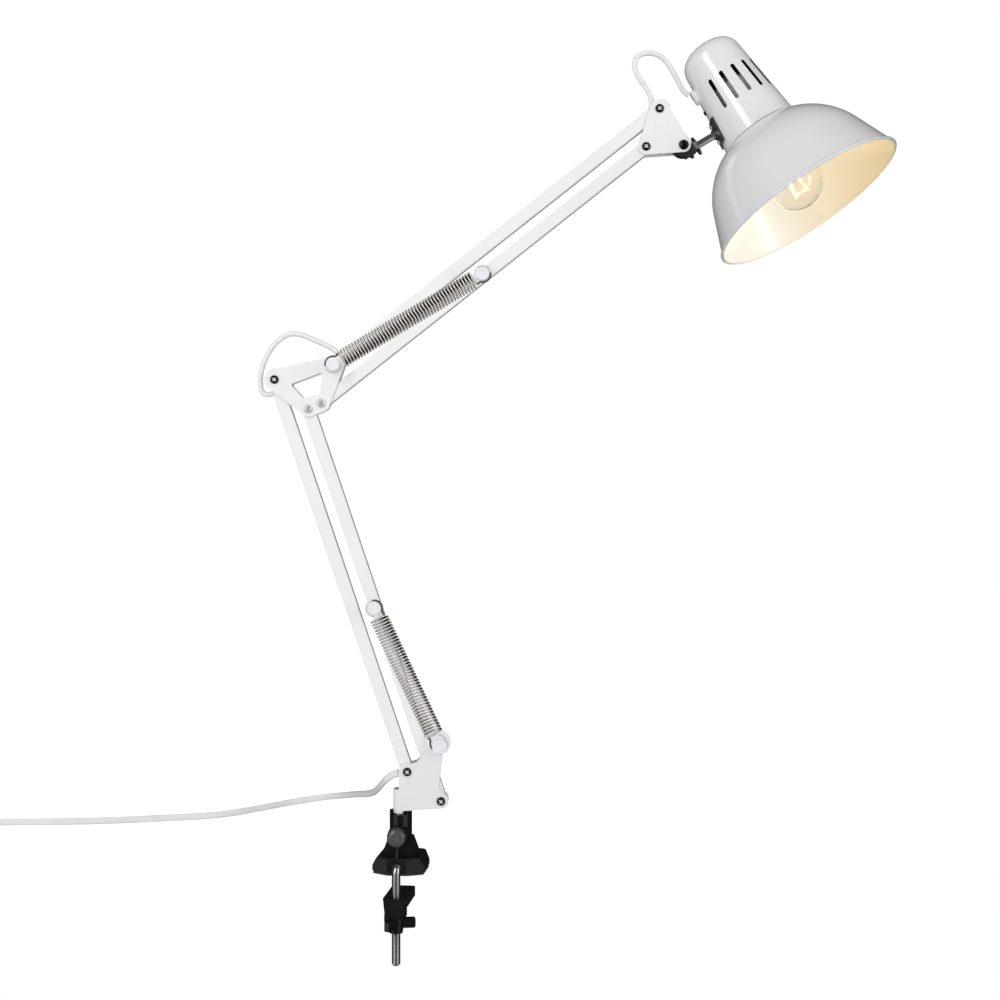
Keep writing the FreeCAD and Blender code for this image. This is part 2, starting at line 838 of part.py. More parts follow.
def bracket_plate(start):
    """One flat cheek of the base bracket, from y = start."""
    web = [
        Vector(0, 0, bracket_foot),
        Vector(bracket_step_run, 0, bracket_foot),
        Vector(bracket_step_run, 0, bracket_step_height),
        Vector(base_second.x, 0, base_second.z - second_lobe),
        Vector(base_second.x + second_lobe, 0, base_second.z),
        Vector(bracket_waist_run, 0, base_first.z - bracket_waist_drop),
        post_point + Vector(post_lobe * post_edge_share, 0, -post_lobe),
        post_point + Vector(post_lobe * post_edge_share, 0, 0),
        post_point + Vector(-post_lobe, 0, post_lobe) * post_top_share,
        Vector(bracket_hollow_run, 0, base_first.z + bracket_hollow_rise),
        base_first + Vector(first_lobe * first_run_share, 0, first_lobe * first_rise_share),
        Vector(base_first.x - first_lobe, 0, base_first.z),
        Vector(base_first.x - first_lobe, 0, fold_top),
        Vector(0, 0, fold_top),
    ]
    radii = [0, 0, 0, 0, 0, bracket_corner, bracket_corner, 0, 0, bracket_corner, 0, 0, 0, 0]
    plate = slab(rounded_wire(web, radii), start, plate_thickness)
    lobes = ((base_first, first_lobe), (base_second, second_lobe), (post_point, post_lobe))
    for point, radius in lobes:
        seat = Vector(point.x, start, point.z)
        plate = plate.fuse(rod(radius, seat, seat + Vector(0, plate_thickness, 0)))
    return plate


def make_base_bracket():
    """Folded sheet bracket: two cheeks joined by a fold that wraps the pin."""
    low, high = Vector(0, 0, bracket_foot), Vector(0, 0, fold_top)
    fold = pipe(plate_outer, plate_inner, low, high)
    keep = box_between(
        Vector(-plate_outer - overrun, -plate_outer - overrun, bracket_foot),
        Vector(0, plate_outer + overrun, fold_top),
    )
    bracket = fold.common(keep).fuse([bracket_plate(-plate_outer), bracket_plate(plate_inner)])
    bracket = cut_all(bracket, plate_holes((base_first, base_second), screw_radius))
    ahead = Vector(0, -1, 0)
    post_hole = rod(post_radius, post_point, post_point + ahead * (plate_outer + overrun))
    return bracket.cut(post_hole)


def make_screws(points):
    """Pivot screws of one bracket or plate pair."""
    return group([pivot_screw(p, plate_outer, plate_outer) for p in points])


def make_nuts(points):
    """Nuts of one bracket or plate pair."""
    return group([pivot_nut(p, plate_outer) for p in points])


def make_sleeves(points):
    """Bushes of one bracket or plate pair."""
    return group([pivot_sleeve(p) for p in points])


def elbow_plate(start):
    """One side plate of the elbow, a rounded triangle with a window."""
    centres = (elbow_first, elbow_second, elbow_arm, elbow_spring)
    radii = (elbow_lobe_first, elbow_lobe_rod, elbow_lobe_arm, elbow_lobe_spring)
    plate = slab(belt_wire(centres, radii), start, plate_thickness)
    top, side = elbow_spring - elbow_first, elbow_second - elbow_first
    corners = [elbow_first + top * a + side * b for a, b in window_shares]
    outline = rounded_wire(corners, [window_corner] * len(corners))
    window = slab(outline, start - overrun, plate_thickness + 2 * overrun)
    plate = plate.cut(window)
    plate = cut_all(plate, plate_holes((elbow_first, elbow_second, elbow_arm), screw_radius))
    return cut_all(plate, plate_holes((elbow_spring,), anchor_radius))


def head_plate(start):
    """One side plate of the head joint, a rounded triangle."""
    centres = (head_low, tilt_point, head_top)
    radii = (head_lobe_low, head_lobe_tilt, head_lobe_top)
    plate = slab(belt_wire(centres, radii), start, plate_thickness)
    plate = cut_all(plate, plate_holes((head_low, head_top), screw_radius))
    return cut_all(plate, plate_holes((tilt_point,), tilt_bolt_radius))


def disc_with_edge(radius, height, edge, base, axis):
    """Flat disc whose outer rim is rounded."""
    disc = rod(radius, base, base + axis * height)
    circles = [e for e in disc.Edges if isinstance(e.Curve, Part.Circle)]
    rim = [e for e in circles if e.CenterOfMass.distanceToPoint(base) > edge]
    return disc.makeFillet(edge, rim)


def anchor_pin(point, reach, hub_radius, hub_start):
    """Pin along Y that a spring's ring hangs on: shaft, hub inside the ring and a flat cap."""
    ahead = Vector(0, -1, 0)
    front = spring_level + spring_wire / 2 + seat_gap
    shaft = rod(anchor_radius, point - ahead * reach, point + ahead * front)
    hub = rod(hub_radius, point + ahead * hub_start, point + ahead * front)
    cap = disc_with_edge(hub_radius, anchor_cap_height, anchor_cap_edge, point + ahead * front, ahead)
    return shaft.fuse([hub, cap])


def make_post():
    """Thin post with its round cap, riveted into the front cheek of the base bracket."""
    ahead = Vector(0, -1, 0)
    front = spring_level + spring_wire / 2 + seat_gap
    shaft = rod(post_radius, post_point + ahead * plate_inner, post_point + ahead * front)
    seat = post_point + ahead * front
    cap = disc_with_edge(post_cap_radius, anchor_cap_height, anchor_cap_edge, seat, ahead)
    return shaft.fuse(cap)


def make_post_washer():
    """Wide washer behind the lowest ring, its hole off centre."""
    ahead = Vector(0, -1, 0)
    seat = post_point + ahead * plate_outer
    shift = Vector(post_washer_shift_run, 0, post_washer_shift_rise)
    disc = rod(post_washer_radius, seat + shift, seat + shift + ahead * post_washer_height)
    return disc.cut(rod(post_radius, post_point, seat + ahead * (post_washer_height + overrun)))


def biarc(start, start_way, end, end_way):
    """Two arcs that leave start along start_way and reach end along end_way."""
    gap = end - start
    ways = start_way + end_way
    spread = 2 * (1 - start_way.dot(end_way))
    pull = gap.dot(ways)
    if spread < straight_limit:
        reach = gap.dot(gap) / (4 * gap.dot(end_way))
    else:
        reach = (math.sqrt(pull * pull + spread * gap.dot(gap)) - pull) / spread
    joint = (start + start_way * reach + end - end_way * reach) / 2
    edges = []
    for a, b, corner in ((start, joint, start + start_way * reach), (joint, end, end - end_way * reach)):
        middle = (a + b) / 2
        half_chord = a.distanceToPoint(b) / 2
        cosine = min(half_chord / corner.distanceToPoint(a), 1)
        bulge = (corner - middle) * (cosine / (1 + cosine))
        if bulge.Length < tolerance:
            edges.append(Part.LineSegment(a, b).toShape())
        else:
            edges.append(Part.Arc(a, middle + bulge, b).toShape())
    return edges


def smooth_path(stations):
    """Wire of biarcs through (point, direction) stations."""
    edges = []
    for (start, start_way), (end, end_way) in zip(stations, stations[1:]):
        edges += biarc(start, unit(start_way), end, unit(end_way))
    return Part.Wire(edges)


def least_self_gap(name, points, thickness, skip):
    """Prints the least clear gap of a wound wire to itself, measured between points of its line."""
    cells = {}
    for i, p in enumerate(points):
        key = (int(p.x // skip), int(p.y // skip), int(p.z // skip))
        cells.setdefault(key, []).append((i, p))
    least = None
    step = points[0].distanceToPoint(points[1])
    for (cx, cy, cz), held in cells.items():
        around = []
        for dx in (-1, 0, 1):
            for dy in (-1, 0, 1):
                for dz in (-1, 0, 1):
                    around += cells.get((cx + dx, cy + dy, cz + dz), [])
        for i, p in held:
            for j, q in around:
                if (j - i) * step > 2 * skip:
                    distance = p.distanceToPoint(q)
                    if least is None or distance < least:
                        least = distance
    print(name, "least gap to itself", round(least - thickness, 2))


def coil_spring(name, start, end, outer, turns, start_shift):
    """Tension spring between two pins: a ring at each end and a helix between them."""
    start = start + Vector(0, -spring_level, 0)
    end = end + Vector(0, -spring_level, 0)
    radius = (outer - spring_wire) / 2
    way = unit(end - start)
    ahead = Vector(0, -1, 0)
    side = way.cross(ahead)
    length = start.distanceToPoint(end)
    first = start_shift + ring_lead
    last = length - ring_lead
    steps = 4 * turns + 1
    climb = (last - first) / steps

    def ring(angle, centre, sense):
        turn = math.radians(angle)
        out = (way * math.cos(turn) + side * math.sin(turn)) * sense
        across = side * math.cos(turn) - way * math.sin(turn)
        return start + way * centre + out * ring_bend, across

    def curl(step):
        turn = -math.pi / 4 + step * math.pi / 2
        out = ahead * math.cos(turn) + side * math.sin(turn)
        across = side * math.cos(turn) - ahead * math.sin(turn)
        point = start + way * (first + climb * step) + out * radius
        return point, across * (radius * math.pi / 2) + way * climb

    stations = [ring(a, start_shift, 1) for a in ring_angles]
    stations += [curl(i) for i in range(steps + 1)]
    stations += [ring(a, length, -1) for a in reversed(ring_angles)]
    path = smooth_path(stations)
    solid = swept(path, stations[0][0], stations[0][1], spring_wire / 2)
    points = path.discretize(Number=turns * gap_samples)
    least_self_gap(name, points, spring_wire, 2 * spring_wire)
    share = solid.Volume / (path.Length * math.pi * spring_wire ** 2 / 4)
    print(name, "length", round(path.Length, 1), "volume ratio", round(share, 3))
    return solid


def tube_route(name, points, radius):
    """Tube of straight runs joined by tangent arcs, each arc as large as its runs allow."""
    edges = []
    start = points[0]
    radii = []
    for before, corner, after in zip(points, points[1:], points[2:]):
        back, ahead = before - corner, after - corner
        half = unit(back).getAngle(unit(ahead)) / 2
        turn = math.pi - 2 * half
        reach = bend_share * min(back.Length, ahead.Length)
        bend = reach / math.tan(turn / 2)
        radii.append(bend)
        first, second = corner + unit(back) * reach, corner + unit(ahead) * reach
        centre = corner + unit(unit(back) + unit(ahead)) * (bend / math.sin(half))
        middle = centre + unit(corner - centre) * bend
        edges.append(Part.LineSegment(start, first).toShape())
        edges.append(Part.Arc(first, middle, second).toShape())
        start = second
    edges.append(Part.LineSegment(start, points[-1]).toShape())
    path = Part.Wire(edges)
    tube = swept(path, points[0], points[1] - points[0], radius)
    share = tube.Volume / (path.Length * math.pi * radius ** 2)
    print(name, "length", round(path.Length, 1), "volume ratio", round(share, 4))
    print(name, "radii", [round(r) for r in radii])
    return tube


def head_to_lamp(shape, swung):
    """Places a head piece modelled with the tilt bolt at the origin and the stem along +X."""
    if swung:
        shape.rotate(Vector(0, 0, -stem_drop), Vector(1, 0, 0), -head_swing)
    shape.rotate(Vector(0, 0, 0), Vector(0, -1, 0), head_rise)
    shape.translate(tilt_point)
    return shape


def make_knuckle():
    """Moulded knuckle between the head plates; the stem turns in it."""
    half = Vector(0, tube_width / 2, 0)
    body = rod(knuckle_radius, -half, half)
    axis = Vector(0, 0, -stem_drop)
    boss_tail = axis - Vector(stem_tail + plate_thickness, 0, 0)
    boss = rod(knuckle_boss_radius, boss_tail, axis + Vector(knuckle_face, 0, 0))
    flat = box_between(
        Vector(knuckle_face, -tube_width, -2 * knuckle_radius),
        Vector(2 * knuckle_radius, tube_width, 2 * knuckle_radius),
    )
    body = body.fuse(boss).cut(flat)
    side = Vector(0, tube_width, 0)
    body = body.cut(rod(tilt_bolt_radius + run_fit, -side, side))
    bore_end = axis + Vector(knuckle_face + overrun, 0, 0)
    bore = rod(stem_radius + run_fit, axis - Vector(stem_tail, 0, 0), bore_end)
    return head_to_lamp(body.cut(bore), False)


def make_tilt_bolt():
    """Bolt through the head plates and the knuckle."""
    ahead = Vector(0, -1, 0)
    seat = ahead * plate_outer
    tail = -ahead * (plate_outer + tilt_nut_height + screw_end_reach)
    bolt = pan_head(tilt_head_radius, tilt_head_height, seat, ahead).fuse(rod(tilt_bolt_radius, seat, tail))
    return head_to_lamp(bolt, False)


def make_tilt_nut():
    """Wing nut behind the head plates."""
    base = Vector(0, plate_outer, 0)
    top = base + Vector(0, tilt_nut_height, 0)
    hub = rod(tilt_nut_radius, base, top)
    wings = []
    for side in (-1, 1):
        corners = [
            Vector(side * (tilt_nut_radius - overrun), base.y + plate_thickness, 0),
            Vector(side * tilt_wing_reach, top.y - plate_thickness, 0),
            Vector(side * tilt_wing_reach, top.y + tilt_wing_height - plate_thickness, 0),
            Vector(side * tilt_nut_radius, top.y, 0),
            Vector(side * (tilt_nut_radius - overrun), top.y, 0),
        ]
        radii = [0, tilt_wing_corner, tilt_wing_corner, 0, 0]
        face = Part.Face(rounded_wire(corners, radii))
        face.translate(Vector(0, 0, -tilt_wing_thickness / 2))
        wings.append(face.extrude(Vector(0, 0, tilt_wing_thickness)))
    bore = rod(tilt_bolt_radius + run_fit, base, top + Vector(0, overrun, 0))
    nut = hub.fuse(wings).cut(bore)
    nut.rotate(Vector(0, 0, 0), Vector(0, 1, 0), tilt_wing_turn)
    return head_to_lamp(nut, False)


def make_stem_nut():
    """Square nut on the stem, against the knuckle."""
    start = knuckle_face + seat_gap
    half = stem_nut_across / 2
    low = Vector(start, -half, -stem_drop - half)
    high = Vector(start + stem_nut_height, half, -stem_drop + half)
    axis = Vector(start, 0, -stem_drop)
    nut = box_between(low, high).cut(rod(stem_radius, axis, axis + Vector(stem_nut_height, 0, 0)))
    return head_to_lamp(nut, True)


def make_stem_washer():
    """Thin disc on the stem."""
    start = Vector(knuckle_face + seat_gap + stem_nut_height, 0, -stem_drop)
    end = start + Vector(stem_washer_height, 0, 0)
    return head_to_lamp(pipe(stem_washer_radius, stem_radius, start, end), True)


def housing_form(inset, base_level):
    """Solid of the lamp housing's outside, shrunk by inset, on the shade's axis."""
    slope = math.tan(math.radians(housing_taper))
    edge_height = housing_shoulder
    base_radius = housing_base_radius - inset
    edge_radius = base_radius - slope * edge_height
    corner = housing_corner - inset
    lean = math.radians(housing_taper)
    centre = Vector(edge_radius - corner * math.cos(lean), 0, edge_height - corner * math.sin(lean))
    arc_start = centre + Vector(math.cos(lean), 0, math.sin(lean)) * corner
    arc_turn = math.radians(housing_corner_turn)
    arc_end = centre + Vector(math.cos(arc_turn), 0, math.sin(arc_turn)) * corner
    middle_turn = (lean + arc_turn) / 2
    arc_middle = centre + Vector(math.cos(middle_turn), 0, math.sin(middle_turn)) * corner
    crown_radius = arc_end.x / math.cos(arc_turn)
    crown_centre = arc_end - Vector(math.cos(arc_turn), 0, math.sin(arc_turn)) * crown_radius
    flat_turn = math.acos(housing_crown_flat / crown_radius)
    flat = crown_centre + Vector(math.cos(flat_turn), 0, math.sin(flat_turn)) * crown_radius
    bow_turn = (arc_turn + flat_turn) / 2
    bow = crown_centre + Vector(math.cos(bow_turn), 0, math.sin(bow_turn)) * crown_radius
    foot = Vector(0, 0, base_level)
    base = Vector(base_radius - slope * base_level, 0, base_level)
    edges = [
        Part.LineSegment(foot, base).toShape(),
        Part.LineSegment(base, arc_start).toShape(),
        Part.Arc(arc_start, arc_middle, arc_end).toShape(),
        Part.Arc(arc_end, bow, flat).toShape(),
        Part.LineSegment(flat, Vector(0, 0, flat.z)).toShape(),
        Part.LineSegment(Vector(0, 0, flat.z), foot).toShape(),
    ]
    return turned(Part.Wire(edges), Vector(0, 0, 0), Vector(0, 0, 1))


def on_shade_axis(shape):
    """Moves a piece modelled on the shade's axis, seam at zero, into the head's frame and the lamp."""
    shape.translate(Vector(shade_reach, 0, -seam_drop))
    return head_to_lamp(shape, True)


def wall_reach(level):
    """Outer radius of the housing at a height above the seam."""
    return housing_base_radius - level * math.tan(math.radians(housing_taper))


def slot_cutter(angle):
    """Long rounded slot through the housing wall; angle is from the side that faces -Y."""
    half = slot_length / 2 - slot_width / 2
    low = Vector(slot_inner_radius, -slot_width / 2, slot_level - half)
    high = Vector(slot_outer_radius, slot_width / 2, slot_level + half)
    cutter = box_between(low, high)
    ends = []
    for level in (slot_level - half, slot_level + half):
        start = Vector(slot_inner_radius, 0, level)
        ends.append(rod(slot_width / 2, start, Vector(slot_outer_radius, 0, level)))
    cutter = cutter.fuse(ends)
    cutter.rotate(Vector(0, 0, 0), Vector(0, 0, 1), angle - 90)
    return cutter


def make_lamp_housing():
    """Domed sheet housing over the lampholder, with its ring of slots."""
    shell = housing_form(0, seam_gap).cut(housing_form(shell_wall, -overrun))
    cutters = [slot_cutter(slot_first + slot_step * i) for i in range(slot_count)]
    side = Vector(-1, 0, 0)
    stem_level = seam_drop - stem_drop
    holes = (
        (grommet_level, grommet_short_half - grommet_neck_inset),
        (housing_screw_level, small_shank_radius),
        (stem_level, stem_radius),
        (stem_level + saddle_screw_step, small_shank_radius),
        (stem_level - saddle_screw_step, small_shank_radius),
    )
    for level, radius in holes:
        start = Vector(-slot_inner_radius, 0, level)
        cutters.append(rod(radius, start, start + side * slot_outer_radius))
    return on_shade_axis(cut_all(shell, cutters))


def make_shade_bowl():
    """Spun bowl: flat collar under the housing, rounded shoulder, straight flare and rolled lip."""
    flare = math.radians(bowl_flare)
    way = Vector(math.sin(flare), 0, -math.cos(flare))
    inward = Vector(-math.cos(flare), 0, -math.sin(flare))
    rim = Vector(rim_radius - lip_radius, 0, -bowl_depth + lip_radius)
    run = (bowl_depth - lip_radius - bowl_shoulder_depth) / math.cos(flare)
    shoulder = rim - way * run
    neck = Vector(housing_base_radius, 0, 0)
    chord = neck - shoulder
    radius = chord.dot(chord) / (2 * chord.dot(inward))
    centre = shoulder + inward * radius
    spin = unit(unit(neck - centre) + unit(shoulder - centre))

    def arc_edge(inset, reverse):
        size = radius - inset
        first = centre + unit(neck - centre) * size
        last = centre + unit(shoulder - centre) * size
        middle = centre + spin * size
        ends = (last, first) if reverse else (first, last)
        return Part.Arc(ends[0], middle, ends[1]).toShape()

    outer_arc, inner_arc = arc_edge(0, False), arc_edge(shell_wall, True)
    inner_rim = rim + inward * shell_wall
    inner_shoulder = centre + unit(shoulder - centre) * (radius - shell_wall)
    inner_neck = centre + unit(neck - centre) * (radius - shell_wall)
    collar_low = Vector(inner_neck.x, 0, -shell_wall)
    hole = Vector(holder_thread_radius + loose_fit, 0, 0)
    hole_low = Vector(hole.x, 0, -shell_wall)
    edges = [
        outer_arc,
        Part.LineSegment(shoulder, rim).toShape(),
        Part.LineSegment(rim, inner_rim).toShape(),
        Part.LineSegment(inner_rim, inner_shoulder).toShape(),
        inner_arc,
        Part.LineSegment(inner_neck, collar_low).toShape(),
        Part.LineSegment(collar_low, hole_low).toShape(),
        Part.LineSegment(hole_low, hole).toShape(),
        Part.LineSegment(hole, neck).toShape(),
    ]
    bowl = turned(Part.Wire(edges), Vector(0, 0, 0), Vector(0, 0, 1))
    lip_level = Vector(0, 0, -bowl_depth + lip_radius)
    lip = Part.makeTorus(rim_radius - lip_radius, lip_radius, lip_level, Vector(0, 0, 1))
    return on_shade_axis(bowl.fuse(lip))


def make_saddle():
    """Steel saddle plate on the housing wall that carries the stem."""
    level = seam_drop - stem_drop
    form = housing_form(-saddle_thickness, -overrun).cut(housing_form(0, -2 * overrun))
    keep = box_between(
        Vector(-slot_outer_radius, -saddle_half_width, level - saddle_half_height),
        Vector(-slot_inner_radius, saddle_half_width, level + saddle_half_height),
    )
    plate = form.common(keep)
    wall = wall_reach(level)
    start = Vector(-wall - saddle_thickness / 2, 0, level)
    boss = rod(saddle_boss_radius, start, start - Vector(saddle_boss_height + saddle_thickness / 2, 0, 0))
    plate = plate.fuse(boss.cut(housing_form(0, -2 * overrun)))
    side = Vector(slot_outer_radius, 0, 0)
    axis = Vector(0, 0, level)
    step = Vector(0, 0, saddle_screw_step)
    holes = [rod(stem_radius, axis - side, axis)]
    for way in (-1, 1):
        holes.append(rod(small_shank_radius, axis + step * way - side, axis + step * way))
    return on_shade_axis(cut_all(plate, holes))


def wall_screw(level, stand_off):
    """Small screw into the housing wall on the stem's side."""
    out = Vector(-1, 0, 0)
    seat = Vector(-wall_reach(level) - stand_off, 0, level)
    head = pan_head(small_head_radius, small_head_height, seat, out)
    return head.fuse(rod(small_shank_radius, seat, seat - out * small_shank_length))


def make_saddle_screws():
    """Two screws of the saddle plate."""
    level = seam_drop - stem_drop
    stand_off = saddle_thickness + seat_gap
    screws = [wall_screw(level + saddle_screw_step * way, stand_off) for way in (-1, 1)]
    return group([on_shade_axis(s) for s in screws])


def make_housing_screw():
    """Small dark screw between the grommet and the saddle."""
    return on_shade_axis(wall_screw(housing_screw_level, seat_gap / 2))


def make_grommet():
    """Oval cable bush in the housing wall."""
    wall = wall_reach(grommet_level)
    stand = Vector(-wall + shell_wall, 0, 0)
    height = grommet_flange_height + shell_wall
    rise = grommet_long_half - grommet_short_half
    discs = []
    for way in (-1, 1):
        base = stand + Vector(0, 0, grommet_level + rise * way)
        discs.append(rod(grommet_short_half, base, base - Vector(height, 0, 0)))
    low = stand + Vector(-height, -grommet_short_half, grommet_level - rise)
    high = stand + Vector(0, grommet_short_half, grommet_level + rise)
    flange = discs[0].fuse([discs[1], box_between(low, high)]).cut(housing_form(0, -overrun))
    centre = Vector(-wall, 0, grommet_level)
    inner = centre + Vector(shell_wall + overrun, 0, 0)
    outer = centre - Vector(grommet_flange_height, 0, 0)
    neck = rod(grommet_short_half - grommet_neck_inset, outer, inner)
    bush = flange.fuse(neck)
    out = Vector(overrun, 0, 0)
    bush = bush.cut(rod(cable_radius, inner + out, outer - out))
    return on_shade_axis(bush)


def make_stem():
    """Bright tube that carries the head, from the knuckle to inside the housing wall."""
    level = -stem_drop
    wall = shade_reach - wall_reach(seam_drop - stem_drop)
    end = wall + shell_wall + seat_gap
    bar = rod(stem_radius, Vector(-stem_tail + seat_gap, 0, level), Vector(end, 0, level))
    return head_to_lamp(bar, True)


def make_lampholder():
    """Lampholder with the bulb's socket, its thread and its cable entry."""
    body = rod(holder_radius, Vector(0, 0, seat_gap), Vector(0, 0, holder_height))
    shoulder = Vector(0, 0, holder_height)
    dome = Part.makeCone(holder_radius, holder_dome_radius, holder_dome_radius, shoulder)
    skirt = rod(holder_thread_radius, Vector(0, 0, -holder_skirt), Vector(0, 0, seat_gap))
    body = body.fuse([dome, skirt])
    cap_foot = Vector(0, 0, -bulb_neck_drop)
    cap_top = bulb_cap_height - bulb_neck_drop + bulb_contact_height + holder_contact_gap
    mouth = rod(holder_bore_radius, Vector(0, 0, -holder_skirt - overrun), cap_foot)
    bore = rod(bulb_cap_radius + holder_thread_play, cap_foot, Vector(0, 0, cap_top))
    top = Vector(0, 0, holder_height + holder_dome_radius)
    entry = rod(cable_radius, top - Vector(0, 0, holder_dome_radius), top + Vector(0, 0, overrun))
    return on_shade_axis(cut_all(body, (mouth, bore, entry)))


def make_holder_ring():
    """Screwed ring that clamps the bowl to the lampholder."""
    top = Vector(0, 0, -shell_wall)
    low = top - Vector(0, 0, ring_height)
    return on_shade_axis(pipe(ring_radius, holder_thread_radius, low, top))


def bulb_form(inset):
    """Solid of the bulb's glass shrunk by inset: a globe with a neck."""
    radius = bulb_radius - inset
    neck = bulb_neck_radius - inset
    centre = Vector(0, 0, -bulb_centre_drop)
    join_turn = math.radians(bulb_join_turn)
    join = centre + Vector(math.cos(join_turn), 0, math.sin(join_turn)) * radius
    side_turn = join_turn / 2 - math.pi / 4
    side = centre + Vector(math.cos(side_turn), 0, math.sin(side_turn)) * radius
    bottom = centre - Vector(0, 0, radius)
    top = Vector(neck, 0, -bulb_neck_drop + inset)
    pull = Vector(-math.sin(join_turn), 0, math.cos(join_turn))
    edges = biarc(join, pull, top, Vector(0, 0, 1))
    outline = [Part.Arc(bottom, side, join).toShape()] + edges
    outline.append(Part.LineSegment(top, Vector(0, 0, top.z)).toShape())
    outline.append(Part.LineSegment(Vector(0, 0, top.z), bottom).toShape())
    return turned(Part.Wire(outline), Vector(0, 0, 0), Vector(0, 0, 1))


def make_bulb_glass():
    """Clear glass envelope."""
    return on_shade_axis(bulb_form(0).cut(bulb_form(bulb_wall)))


def make_bulb_cap():
    """Screw cap of the bulb with its end contact."""
    low = Vector(0, 0, -bulb_neck_drop)
    top = Vector(0, 0, bulb_cap_height - bulb_neck_drop)
    cap = rod(bulb_cap_radius, low, top)
    contact = rod(bulb_contact_radius, top, top + Vector(0, 0, bulb_contact_height))
    return on_shade_axis(cap.fuse(contact))


def make_bulb_filaments():
    """Filament strips leaning round a glass stem inside the bulb."""
    top = Vector(0, 0, -bulb_neck_drop - bulb_wall)
    mount = Vector(0, 0, -bulb_centre_drop + filament_length / 2)
    foot = Vector(0, 0, -bulb_centre_drop - filament_length / 2)
    inside = rod(bulb_stem_radius, mount, top)
    strips = []
    for i in range(filament_count):
        turn = i * 2 * math.pi / filament_count
        lean = turn + math.radians(filament_lean)
        high = mount + Vector(math.cos(turn), math.sin(turn), 0) * filament_top_ring
        low = foot + Vector(math.cos(lean), math.sin(lean), 0) * filament_foot_ring
        strips.append(rod(filament_radius, high, low))
        strips.append(rod(filament_wire, mount + Vector(0, 0, filament_radius), high))
        strips.append(rod(filament_wire, foot, low))
    return on_shade_axis(inside.fuse(strips))


def spiral_stations(centre, first_radius, last_radius, turns, first_angle, low, high):
    """Quarter-turn stations of a spiral that may also climb."""
    count = int(round(turns * 4))
    rate = (last_radius - first_radius) / (turns * 2 * math.pi)
    climb = (high - low) / (turns * 2 * math.pi)
    stations = []
    for i in range(count + 1):
        swept_angle = i * math.pi / 2
        angle = first_angle + swept_angle
        radius = first_radius + rate * swept_angle
        out = Vector(math.cos(angle), math.sin(angle), 0)
        across = Vector(-math.sin(angle), math.cos(angle), 0)
        point = centre + Vector(0, 0, low + climb * swept_angle) + out * radius
        stations.append((point, across * radius + out * rate + Vector(0, 0, climb)))
    return stations


def make_cord_coil():
    """Stored cord: in along the table, a half turn up, out again on top and down to the plug."""
    left = Vector(-1, 0, 0)
    start = Vector(*cord_route[-1]) + left * (switch_length + 2 * switch_end_gap)
    step = 2 * cord_radius + coil_gap
    inner_radius = coil_outer_radius - step * coil_turns
    entry = start + left * coil_lead
    centre = Vector(entry.x, entry.y - coil_outer_radius, 0)
    low, high = start.z, start.z + step
    turn_angle = coil_turns * 2 * math.pi
    first_angle = math.pi / 2
    last_angle = first_angle + turn_angle
    lower = spiral_stations(centre, coil_outer_radius, inner_radius, coil_turns, first_angle, low, low)
    dip_radius, half = inner_radius - coil_gap, (low + high) / 2
    climb = spiral_stations(centre, inner_radius, dip_radius, coil_climb_turns / 2, last_angle, low, half)
    out_angle = last_angle + coil_climb_turns * 2 * math.pi
    upper = spiral_stations(centre, inner_radius, coil_outer_radius, coil_turns, out_angle, high, high)
    right = Vector(1, 0, 0)
    lower[0] = (lower[0][0], left)
    upper[-1] = (upper[-1][0], right)
    last = upper[-1][0]
    foot = Vector(last.x + coil_tail, last.y, plug_height / 2 + switch_end_gap)
    stations = lower + climb[1:] + upper + [(foot, right)]
    edges = [Part.LineSegment(start, lower[0][0]).toShape()]
    edges += smooth_path(stations).Edges
    end = foot + right * coil_end_lead
    edges.append(Part.LineSegment(foot, end).toShape())
    path = Part.Wire(edges)
    solid = swept(path, start, left, cord_radius)
    points = path.discretize(Number=coil_gap_samples)
    least_self_gap("cord_coil", points, 2 * cord_radius, 4 * cord_radius)
    share = solid.Volume / (path.Length * math.pi * cord_radius ** 2)
    print("cord_coil length", round(path.Length, 1), "volume ratio", round(share, 4))
    return solid, end


def make_switch_case():
    """Inline rocker switch on the cord, with a well for its rocker."""
    end = Vector(*cord_route[-1]) - Vector(switch_end_gap, 0, 0)
    low = Vector(end.x - switch_length, end.y - switch_width / 2, 0)
    high = Vector(end.x, end.y + switch_width / 2, switch_height)
    case = box_between(low, high)
    tall = [e for e in case.Edges if e.BoundBox.ZLength > switch_height / 2]
    case = case.makeFillet(switch_corner, tall)
    top = [e for e in case.Edges if e.BoundBox.ZMin > switch_height - switch_corner / 2]
    case = case.makeFillet(switch_corner / 2, top)
    centre = Vector(end.x - switch_length / 2, end.y, switch_height - rocker_depth)
    half_long = rocker_length / 2 + rocker_play
    half_wide = rocker_width / 2 + rocker_play
    well_low = centre - Vector(half_long, half_wide, 2 * rocker_play)
    well_high = centre + Vector(half_long, half_wide, rocker_depth + overrun)
    reach = Vector(0, half_wide + rocker_pin_reach + rocker_play, 0)
    pivot = rocker_pivot()
    bore = rod(rocker_pin_radius + run_fit, pivot - reach, pivot + reach)
    return case.cut([box_between(well_low, well_high), bore])


def rocker_pivot():
    """Middle of the rocker's pins."""
    end = Vector(*cord_route[-1])
    run = end.x - switch_end_gap - switch_length / 2
    return Vector(run, end.y, switch_height - rocker_depth / 2)


